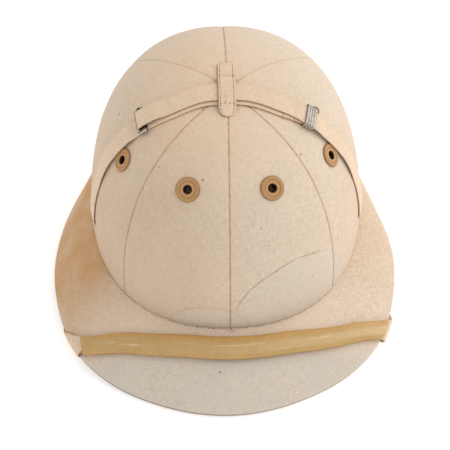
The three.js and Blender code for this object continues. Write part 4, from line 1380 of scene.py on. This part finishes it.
class HELMET_OT_strap(bpy.types.Operator):
    """Make the ribbed webbing strap, one whole loop, with the stitches at its ends"""

    bl_idname = "helmet.strap"
    bl_label = "Webbing Strap"

    step = 0.3 * MM
    crown_rows = 901
    bend_steps = 60
    # Rows from the end of a run to the row that gives its heading, on the crown and on the brim
    crown_lead = 5
    brim_lead = 6
    # Section: shares of the half width at its points, roundness of its edges, and its thick selvedges
    side_shares = np.array([-1, -0.985, -0.94, -0.87, -0.79, -0.6, -0.3, 0])
    edge_powers = (12, 0.4)
    selvedge = {"height": 0.16, "share": 0.9, "width": 0.7 * MM}
    # Ribs: shares of the half width over which they fade, level of their middle, and room left for them
    rib_fade = (0.8, 0.9)
    rib_middle = 0.6
    rib_room = 0.05 * MM
    # How the distance from the edge, for its dirt and painted shade, grows up the side of the webbing
    shade_and_dirt_rise = 1.2 * MM
    shade_and_dirt_level = 0.85
    # Stitches of the turned-back end, by angle and by distance in from the edge
    turn_back = {"start": 17.6, "end": 25, "cross": 17.8, "points": 40, "cross_points": 8}
    turn_back_insets = {"edge": 0.4 * MM, "cross_far": 2.4 * MM, "cross_near": 0.2 * MM}
    # Knot at the left end of the chin guard: insets of its rows, heights, and the steps that it covers
    knot_insets = (-0.3, 0.3, 0.9)
    knot = {"edge": 2 * MM, "height": 0.8 * MM, "upper_height": 0.3 * MM, "rows": slice(2, 10)}

    def section(self, strap):
        """Closed section of the webbing: distances to the side, and heights from -1 below to 1 above."""
        half = strap.width / 2
        sides = mirrored(self.side_shares) * half
        power, root = self.edge_powers
        rounded = (1 - np.abs(sides / half) ** power) ** root
        selvedge = self.selvedge
        thick = 1 + selvedge["height"] * hump(np.abs(sides), selvedge["share"] * half, selvedge["width"])
        level = rounded * thick
        return (np.concatenate([sides, sides[-2:0:-1]])[None, :],
                np.concatenate([level, -level[-2:0:-1]])[None, :])

    def route(self, settings, shell, sides, heights):
        """Rows of points along the whole strap, for a closed section or a single line."""
        strap, guard = settings.strap, settings.guard
        angles, edges, headings = brim_route(self.step)
        bent = self.bend_steps - 1
        counts = [self.crown_rows, bent, len(angles), bent, self.crown_rows]
        rows = np.broadcast_to(heights, (sum(counts), heights.shape[1]))
        on_first, _, on_brim, _, on_last = np.split(rows, np.cumsum(counts)[:-1])
        over = np.linspace(-strap.doubled_end, SLIT["end"], self.crown_rows)[:, None]
        shift = strap.upper_shift * (1 - ease(over, IN_LINE["start"], IN_LINE["end"]))
        first = crown_tape(shell, over, UPPER_LIFT, shift, sides, on_first)
        last = crown_tape(shell, -over[::-1], LOWER_LIFT, 0, sides, on_last)
        place = brim_places(shell, guard, angles, edges, headings)
        lift = brim_lift(settings, angles, edges) + strap.thickness - on_brim
        middle = place(sides * drawn_share(guard, angles, edges), lift)
        crown_lead, brim_lead = self.crown_lead, self.brim_lead
        into = bend(first[-1], first[-1 - crown_lead], middle[0], middle[brim_lead], self.bend_steps)
        out = bend(middle[-1], middle[-1 - brim_lead], last[0], last[crown_lead], self.bend_steps)
        return np.concatenate([first, into, middle, out, last])

    def execute(self, context):
        settings = context.scene.polo_helmet
        strap = settings.strap
        shell = Shell(settings)
        half_width, half_thickness = strap.width / 2, strap.thickness / 2
        middle = self.route(settings, shell, np.zeros((1, 1)), np.full((1, 1), half_thickness))
        along = run_length(middle[:, 0])[:, None]
        sides, level = self.section(strap)
        rib = strap.rib_height * (np.abs(np.sin(math.pi * along / strap.rib_pitch)) - self.rib_middle)
        ribbed = 1 - ease(np.abs(sides), *(share * half_width for share in self.rib_fade))
        heights = half_thickness + level * (half_thickness - self.rib_room) + np.sign(level) * rib * ribbed
        solid, faces = closed_tube(self.route(settings, shell, sides, heights))
        to_edge = half_width - np.abs(sides) + self.shade_and_dirt_rise * np.maximum(level + self.shade_and_dirt_level, 0)
        to_end = np.minimum(along, along[-1] - along)
        maps = {"weave": map_of(along, sides), "edges": map_of(to_edge, to_end)}
        maps = {title: np.concatenate([pairs, pairs[[0, -1]]]) for title, pairs in maps.items()}
        mesh = make_mesh("webbing_strap_cotton", stood(solid), faces, maps)
        webbing = webbing_material(settings.finish, strap.rib_pitch)
        make_piece("webbing_strap_cotton", mesh, webbing, ["webbing_strap"])
        self.sew_turn_back(settings, shell)
        self.sew_knot(settings, shell)
        return {"FINISHED"}

    def sew_turn_back(self, settings, shell):
        """Stitches of the turned-back end on the right."""
        strap, sewn, insets = settings.strap, self.turn_back, self.turn_back_insets
        half = strap.width / 2

        def line(angles, sides):
            return crown_tape(shell, angles, LOWER_LIFT, 0, sides, strap.thickness)

        angles = np.linspace(sewn["start"], sewn["end"], sewn["points"])
        edge = line(angles, np.full_like(angles, half - insets["edge"]))
        across = np.linspace(half - insets["cross_far"], half - insets["cross_near"], sewn["cross_points"])
        sew("turn_back", [edge, line(np.full_like(across, sewn["cross"]), across)], settings.finish)

    def sew_knot(self, settings, shell):
        """Knot and thread at the left end of the chin guard."""
        guard, knot = settings.guard, self.knot
        angles, edges, headings = brim_route(self.step)
        near = ((angles < 0) & (edges > knot["edge"]) & (edges < guard.left_clearance))[:, 0]
        angles, edges, headings = angles[near], edges[near], headings[near]
        place = brim_places(shell, guard, angles, edges, headings)
        lift = brim_lift(settings, angles, edges)
        half = settings.strap.width / 2 * drawn_share(guard, angles, edges)
        rows = [place(half - inset * MM, lift + knot["height"])[:, 0] for inset in self.knot_insets]
        sew("knot", [row[knot["rows"]] for row in rows], settings.finish)
        sew("guard", [place(-half, lift + knot["upper_height"])[:, 0]], settings.finish)


class HELMET_OT_guard(bpy.types.Operator):
    """Make the leather chin guard round the webbing on the peak"""

    bl_idname = "helmet.guard"
    bl_label = "Chin Guard"

    step = 1 * MM
    sides = 72
    outer_power = 2.6
    tunnel_power = 6
    # How its ends are drawn in, and the creases in its leather, stretched along its length
    lip = {"share": 0.05, "length": 0.8 * MM}
    crease = {"height": 0.18 * MM, "depth": 0.3 * MM, "size": 55 * MM, "stretch": 9, "seed": 21}

    def oval(self, half_height, power):
        """Shares of the half width and heights round an oval."""
        turn = full_turn(self.sides)[None, :]
        across, up = (np.sign(wave) * np.abs(wave) ** (2 / power) for wave in (np.sin(turn), np.cos(turn)))
        return -across, half_height * up

    def execute(self, context):
        settings = context.scene.polo_helmet
        guard = settings.guard
        shell = Shell(settings)
        angles, edges, headings = brim_route(self.step)
        kept = (edges > guard_clearance(guard, angles))[:, 0]
        angles, edges, headings = angles[kept], edges[kept], headings[kept]
        place = brim_places(shell, guard, angles, edges, headings)
        rise = guard.seat + guard.half_height
        ends = np.where(angles > 0, guard.right_half_width, guard.left_half_width)
        width = mix(ends, guard.half_width, ease(edges, guard.end_zone, guard.full_zone))
        share, lift = self.oval(guard.half_height, self.outer_power)
        side = share * width
        along = run_length(place(side, rise + lift, False)[:, 0])[:, None]
        to_end = np.minimum(along, along[-1] - along)
        lip = 1 - self.lip["share"] * np.exp(-to_end / self.lip["length"])
        crease = self.crease
        lie = np.stack(np.broadcast_arrays(along, side * crease["stretch"]), -1)
        uneven = crease["height"] * unevenness(lie, crease["size"], crease["seed"])
        thick = lift + np.sign(lift) * np.maximum(uneven, -crease["depth"])
        outer = place(side * lip, rise + thick * lip, False)
        share_in, lift_in = self.oval(guard.tunnel_half_height, self.tunnel_power)
        tunnel = place(share_in * (width - guard.tunnel_inset), rise + lift_in, False)
        points = np.concatenate([outer, tunnel[::-1]])
        maps = {"weave": map_of(np.concatenate([along, along[::-1]]), share * guard.half_width)}
        faces = grid_faces(*points.shape[:2], close_rows=True, close_columns=True)
        mesh = make_mesh("chin_guard_leather", stood(points).reshape(-1, 3), faces, maps)
        leather = leather_material(settings.finish, guard)
        make_piece("chin_guard_leather", mesh, leather, ["chin_guard"])
        return {"FINISHED"}


class HELMET_OT_tab(bpy.types.Operator):
    """Make the canvas keeper tab on top, with its rows of stitches"""

    bl_idname = "helmet.tab"
    bl_label = "Keeper Tab"

    steps = 151
    # Power by which its points crowd at the front
    front_crowding = 1.3
    # Shares of the width that the tip and the back keep, and length of the back's corners
    tip_share = 0.25
    back_share = 0.6
    corner = 3 * MM
    # Section: shares of the half width at its points, roundness, the sewn groove and the bead outside it
    side_shares = np.array([-1, -0.975, -0.93, -0.88, -0.82, -0.78, -0.74, -0.7, -0.64, -0.4, 0])
    edge_powers = (10, 0.4)
    groove = {"share": 0.74, "width": 0.045, "depth": 0.3 * MM}
    bead = {"share": 0.88, "width": 0.06, "height": 0.22 * MM}
    # Rows of stitches: distance from the ends and depth of the long ones, places and depth of the short ones
    long_rows = {"from_end": 2.4 * MM, "depth": 0.28 * MM, "points": 90}
    short_rows = {"places": (-15.5, 11), "depth": 0.05 * MM, "points": 30}
    grain = 0.14
    light = 1.17

    def spots(self, shell, fittings, along, share, height):
        """Points of the tab at places from its front to its back and shares of its half width."""
        half = fittings.tab_width / 2
        ends = ((along - fittings.tab_front, fittings.tab_tip, self.tip_share),
                (fittings.tab_back - along, self.corner, self.back_share))
        for distance, length, least in ends:
            inward = np.clip(distance / length, 0, 1)
            half = half * mix(least, 1, np.sqrt(inward * (2 - inward)))
        base = shell.crown_at(*np.broadcast_arrays(fittings.tab_x + share * half, along))
        lift = from_table(TAB_LIFT, along / MM) * MM + height
        return base + shell.crown_normal(base) * np.broadcast_to(lift, base.shape[:-1])[..., None]

    def execute(self, context):
        settings = context.scene.polo_helmet
        fittings = settings.fittings
        shell = Shell(settings)
        even = np.linspace(0, 1, self.steps)
        along = mix(fittings.tab_front, fittings.tab_back, even**self.front_crowding)[:, None]
        share = mirrored(self.side_shares)
        power, root = self.edge_powers
        level = (1 - np.abs(share) ** power) ** root
        groove, bead = self.groove, self.bead
        relief = bead["height"] * hump(np.abs(share), bead["share"], bead["width"])
        relief = relief - groove["depth"] * hump(np.abs(share), groove["share"], groove["width"])
        half = fittings.tab_thickness / 2
        heights = np.concatenate([half + level * half + relief, half - level[-2:0:-1] * half])[None, :]
        shares = np.concatenate([share, share[-2:0:-1]])[None, :]
        solid, faces = closed_tube(self.spots(shell, fittings, along, shares, heights))
        from_left = np.append(np.broadcast_to(shares + 1, (len(along), shares.size)).ravel(), [1, 1])
        maps = {"weave": solid[:, :2], "edges": map_of(from_left * fittings.tab_width / 2, 1.0)}
        mesh = make_mesh("keeper_tab_canvas", stood(solid), faces, maps)
        canvas = canvas_material("tab_canvas", settings.finish, tab_marks, self.grain, self.light)
        make_piece("keeper_tab_canvas", mesh, canvas, ["keeper_tab"])
        sew("tab", self.stitch_lines(shell, fittings), settings.finish)
        return {"FINISHED"}

    def stitch_lines(self, shell, fittings):
        """Lines of stitches along both edges and across the tab."""
        sewn = self.groove["share"]
        thick = fittings.tab_thickness
        rows = self.long_rows
        start, end = fittings.tab_front + rows["from_end"], fittings.tab_back - rows["from_end"]
        run = np.linspace(start, end, rows["points"])
        lines = [self.spots(shell, fittings, run, sign * sewn, thick - rows["depth"]) for sign in (-1, 1)]
        rows = self.short_rows
        across = np.linspace(-sewn, sewn, rows["points"])
        for place in rows["places"]:
            lines.append(self.spots(shell, fittings, place * MM, across, thick - rows["depth"]))
        return lines


# Slides
def slide_frame(shell, slide):
    """Middle of a slide on the crown, and its axes along the webbing, across it to the back and outwards."""
    forward = slide["forward"] * MM
    before, origin, after = (shell.over_crown(slide["angle"] + step, forward, 0) for step in (-1, 0, 1))
    outward = shell.crown_normal(origin)
    backward = unit(np.cross(outward, after - before))
    return origin, np.stack([np.cross(backward, outward), backward, outward])


def wire_points(path, radius, sides=10):
    """Rows of points round a wire that follows a path."""
    heading = unit(np.gradient(path, axis=0))
    side = unit(np.cross(heading, np.array([0.2, 0.3, 1.0])))
    other = np.cross(heading, side)
    turn = full_turn(sides)[None, :, None]
    return path[:, None] + radius * (np.cos(turn) * side[:, None] + np.sin(turn) * other[:, None])


def sheet_points(path, lengths, thickness, ridges):
    """Bent sheet: a path of (across, up) swept along its length, with ridges on its outer face."""
    heading = unit(np.gradient(path, axis=0))
    outward = np.stack([-heading[:, 1], heading[:, 0]], axis=-1)
    outer = path[:, None, :] + outward[:, None, :] * (thickness / 2 + ridges)[None, :, None]
    inner = np.broadcast_to((path - outward * thickness / 2)[:, None, :], outer.shape)
    rows = np.concatenate([outer, inner[:, ::-1]], axis=1)
    places = np.concatenate([lengths, lengths[::-1]])
    return np.concatenate([np.broadcast_to(places[None, :, None], rows.shape[:2] + (1,)), rows], axis=-1)


def round_path(corners, radius, steps=6):
    """Path through corners in a plane, each rounded by a radius."""
    corners = np.array(corners, float)
    share = np.linspace(0, 1, steps)[:, None]
    path = [corners[:1]]
    for before, corner, after in zip(corners, corners[1:], corners[2:]):
        start = corner + unit(before - corner) * radius
        end = corner + unit(after - corner) * radius
        path.append((1 - share) ** 2 * start + 2 * (1 - share) * share * corner + share**2 * end)
    return np.concatenate([*path, corners[-1:]])


class HELMET_OT_slides(bpy.types.Operator):
    """Make the two metal slides on the webbing"""

    bl_idname = "helmet.slides"
    bl_label = "Slides"

    # Sizes in millimetres: angle on the crown, distance in front of the webbing's plane, then its own sizes
    right = {"angle": 26.3, "forward": 3.4, "length": 7.6, "half_width": 8.8, "sheet": 0.7, "top": 5.35,
             "foot": 0.15, "foot_reach": 4, "corner": 0.9, "ribs": 4, "rib_height": 0.35}
    left = {"angle": -26.8, "forward": 2.3, "length": 6.6, "back": 10.9, "front": -10, "sheet": 0.65,
            "seat": 1.98, "roll": 1.3, "lip": 1.6, "lip_corner": 0.3, "lip_share": 0.3}
    # Wire hook at the back of the right slide, by its knots
    hook = [(0.4, 8.3, 5.5), (2.2, 9.0, 5.7), (4.2, 8.9, 5.4), (5.4, 7.9, 4.7), (5.8, 6.6, 3.9)]
    hook_radius = 0.42
    hook_steps = 24
    # Columns over the length of each slide, and points round the roll of the left one
    right_columns = 65
    left_columns = 9
    roll_points = 20
    # Ribs: the level at which their wave is cut off, and the share of the length at which they end
    rib_level = 0.55
    rib_end = 0.495
    # How dark the metal is between the ribs, on the hook and on the open face of the roll, as grime and
    # painted shade
    dark = {"ribs": 0.6, "hook": 0.8, "roll": 0.2}
    # Turns of the roll between which it lies open to the light
    open_roll = (-0.2, 1.3)

    def make(self, shell, name, slide, solids, nickel):
        """Piece from closed tubes of points in millimetres, each with its mask of grime and painted shade."""
        origin, axes = slide_frame(shell, slide)
        points, faces, grime_and_shade_parts = [], [], []
        for rows, dark in solids:
            solid, around = closed_tube(rows)
            first = sum(len(part) for part in points)
            faces += [[first + corner for corner in face] for face in facing_out(solid, around)]
            points.append(solid)
            grime_and_shade_parts.append(np.append(np.broadcast_to(dark, rows.shape[:2]).ravel(), [0, 0]))
        placed = stood(origin + np.concatenate(points) * MM @ axes)
        grime_and_shade = np.concatenate(grime_and_shade_parts)
        mesh = make_mesh(name + "_nickel", placed, faces, {"edges": map_of(grime_and_shade, grime_and_shade)})
        make_piece(name + "_nickel", mesh, nickel, [name])

    def right_solids(self):
        """Ribbed plate bent down round the webbing at both ends, and the wire hook at its back."""
        right = self.right
        half = right["half_width"] - right["sheet"] / 2
        top, foot = right["top"] - right["sheet"] / 2, right["foot"] + right["sheet"] / 2
        toe = right["half_width"] - right["foot_reach"]
        corners = [(-toe, foot), (-half, foot), (-half, top), (half, top), (half, foot), (toe, foot)]
        even = np.linspace(-0.5, 0.5, self.right_columns)
        wave = np.cos(2 * math.pi * right["ribs"] * (even + 0.5 + 0.5 / right["ribs"]))
        ridge = np.maximum(wave + self.rib_level, 0) / (1 + self.rib_level) * (np.abs(even) < self.rib_end)
        rows = sheet_points(round_path(corners, right["corner"]), even * right["length"], right["sheet"],
                            right["rib_height"] * ridge)
        # Painted shade with grime between the ribs, and painted shade on the inner face
        grime_and_shade = np.concatenate([(1 - ridge) ** 2 * self.dark["ribs"], np.ones(len(even))])
        knots = np.array(self.hook)
        places = np.linspace(0, len(knots) - 1, self.hook_steps)
        path = np.stack([np.interp(places, np.arange(len(knots)), axis) for axis in knots.T], axis=-1)
        return [(rows, grime_and_shade), (wire_points(path, self.hook_radius), self.dark["hook"])]

    def left_solids(self):
        """Plate under the end of the webbing, with a rolled front edge and a lip at its back."""
        left = self.left
        sheet, seat, corner = left["sheet"], left["seat"], left["lip_corner"]
        turn = np.linspace(-math.pi / 2, math.pi, self.roll_points)
        radius = left["roll"] - sheet / 2
        roll_up = seat + left["roll"] + radius * np.sin(turn)
        roll = np.stack([left["front"] - radius * np.cos(turn), roll_up], -1)
        back, middle = left["back"] + sheet / 2, seat + sheet / 2
        lip = [(back, seat + left["lip"]), (back, middle + corner), (back - corner, middle)]
        lengths = np.linspace(-0.5, 0.5, self.left_columns) * left["length"]
        rows = sheet_points(np.concatenate([lip, roll]), lengths, sheet, np.zeros(self.left_columns))
        rows[:2, :, 0] *= left["lip_share"]
        start, end = self.open_roll
        # Painted shade on the lip and where the roll turns from the light
        roll_shade = np.where((turn < start) | (turn > end), 1, self.dark["roll"])
        return [(rows, np.concatenate([np.ones(len(lip)), roll_shade])[:, None])]

    def execute(self, context):
        settings = context.scene.polo_helmet
        shell = Shell(settings)
        nickel = nickel_material(settings.finish)
        self.make(shell, "slide_right", self.right, self.right_solids(), nickel)
        self.make(shell, "slide_left", self.left, self.left_solids(), nickel)
        return {"FINISHED"}


class HELMET_OT_stage(bpy.types.Operator):
    """Set out the floor, the lights and the camera"""

    bl_idname = "helmet.stage"
    bl_label = "Stage"

    floor_size = 6.0
    floor_tones = ((0.95, 0.95, 0.95), (0.98, 0.98, 0.98))
    # Glow of the floor round the helmet: half sizes of an oval, and shares of it where it starts and is full
    glow = {"half_width": 0.125, "half_depth": 0.16, "start": 0.72, "full": 0.98, "strength": 0.36}
    key_place = (1.5, 0.35, 1.3)
    key_size = 1.8
    sensor_mm = 36

    def floor_material(self):
        """Pale floor with a weak glow, left out under the helmet."""
        material, tree, shader = new_material("pale_floor")
        glow = self.glow
        place = field(tree, "ShaderNodeTexCoord", "Object")
        oval = place.scaled(1 / glow["half_width"], 1 / glow["half_depth"], 1)
        away = field(tree, "ShaderNodeVectorMath", "Value", {0: oval}, operation="LENGTH")
        set_inputs(shader, {
            "Base Color": blend(place.noise(3), *self.floor_tones), "Roughness": 0.9,
            "Emission Color": away.band(glow["start"], glow["full"]), "Emission Strength": glow["strength"],
        })
        return material

    def add_floor(self):
        half = self.floor_size / 2
        mesh = bpy.data.meshes.new("floor")
        corners = [(-half, -half, 0), (half, -half, 0), (half, half, 0), (-half, half, 0)]
        mesh.from_pydata(corners, [], [(0, 1, 2, 3)])
        mesh.materials.append(self.floor_material())
        floor = add_object("floor", mesh)

    def add_lights(self, scene, stage):
        light = bpy.data.lights.new("key_light", "AREA")
        light.energy = stage.key
        light.size = self.key_size
        item = add_object("key_light", light)
        item.location = self.key_place
        item.rotation_euler = (-Vector(self.key_place)).to_track_quat("-Z", "Y").to_euler()
        scene.world = bpy.data.worlds.new("soft_room")
        scene.world.use_nodes = True
        background = scene.world.node_tree.nodes["Background"]
        set_inputs(background, {"Color": (1, 1, 1), "Strength": stage.fill})
        scene.view_settings.view_transform = "Standard"

    def add_camera(self, scene, stage):
        camera = add_object("camera", bpy.data.cameras.new("camera"))
        camera.data.lens = stage.lens
        camera.data.sensor_width = self.sensor_mm
        turn, lift = math.radians(stage.azimuth), math.radians(stage.elevation)
        away = Vector((math.sin(turn) * math.cos(lift), -math.cos(turn) * math.cos(lift), math.sin(lift)))
        camera.location = Vector(stage.aim) + away * stage.distance
        facing = (-away).to_track_quat("-Z", "Y").to_matrix().to_4x4()
        camera.rotation_euler = (facing @ Matrix.Rotation(math.radians(stage.roll), 4, "Z")).to_euler()
        scene.camera = camera

    def execute(self, context):
        stage = context.scene.polo_helmet.stage
        self.add_floor()
        self.add_lights(context.scene, stage)
        self.add_camera(context.scene, stage)
        return {"FINISHED"}


class HELMET_PT_panel(bpy.types.Panel):
    """Steps that build the helmet, in their order"""

    bl_idname = "HELMET_PT_panel"
    bl_label = "Polo Helmet"
    bl_space_type = "VIEW_3D"
    bl_region_type = "UI"
    bl_category = "Helmet"

    def draw(self, context):
        for step in STEPS:
            self.layout.operator(step.bl_idname)


STEPS = (HELMET_OT_stage, HELMET_OT_crown, HELMET_OT_brim, HELMET_OT_eyelets, HELMET_OT_strap,
         HELMET_OT_guard, HELMET_OT_tab, HELMET_OT_slides)
CLASSES = (CrownSettings, BrimSettings, StrapSettings, GuardSettings, FittingSettings, FinishSettings,
           StageSettings, HelmetSettings, *STEPS, HELMET_PT_panel)


def register():
    for item in CLASSES:
        bpy.utils.register_class(item)
    bpy.types.Scene.polo_helmet = PointerProperty(type=HelmetSettings)


def unregister():
    del bpy.types.Scene.polo_helmet
    for item in reversed(CLASSES):
        bpy.utils.unregister_class(item)


def main():
    register()
    for step in STEPS:
        group, action = step.bl_idname.split(".")
        getattr(getattr(bpy.ops, group), action)()


if __name__ == "__main__":
    main()
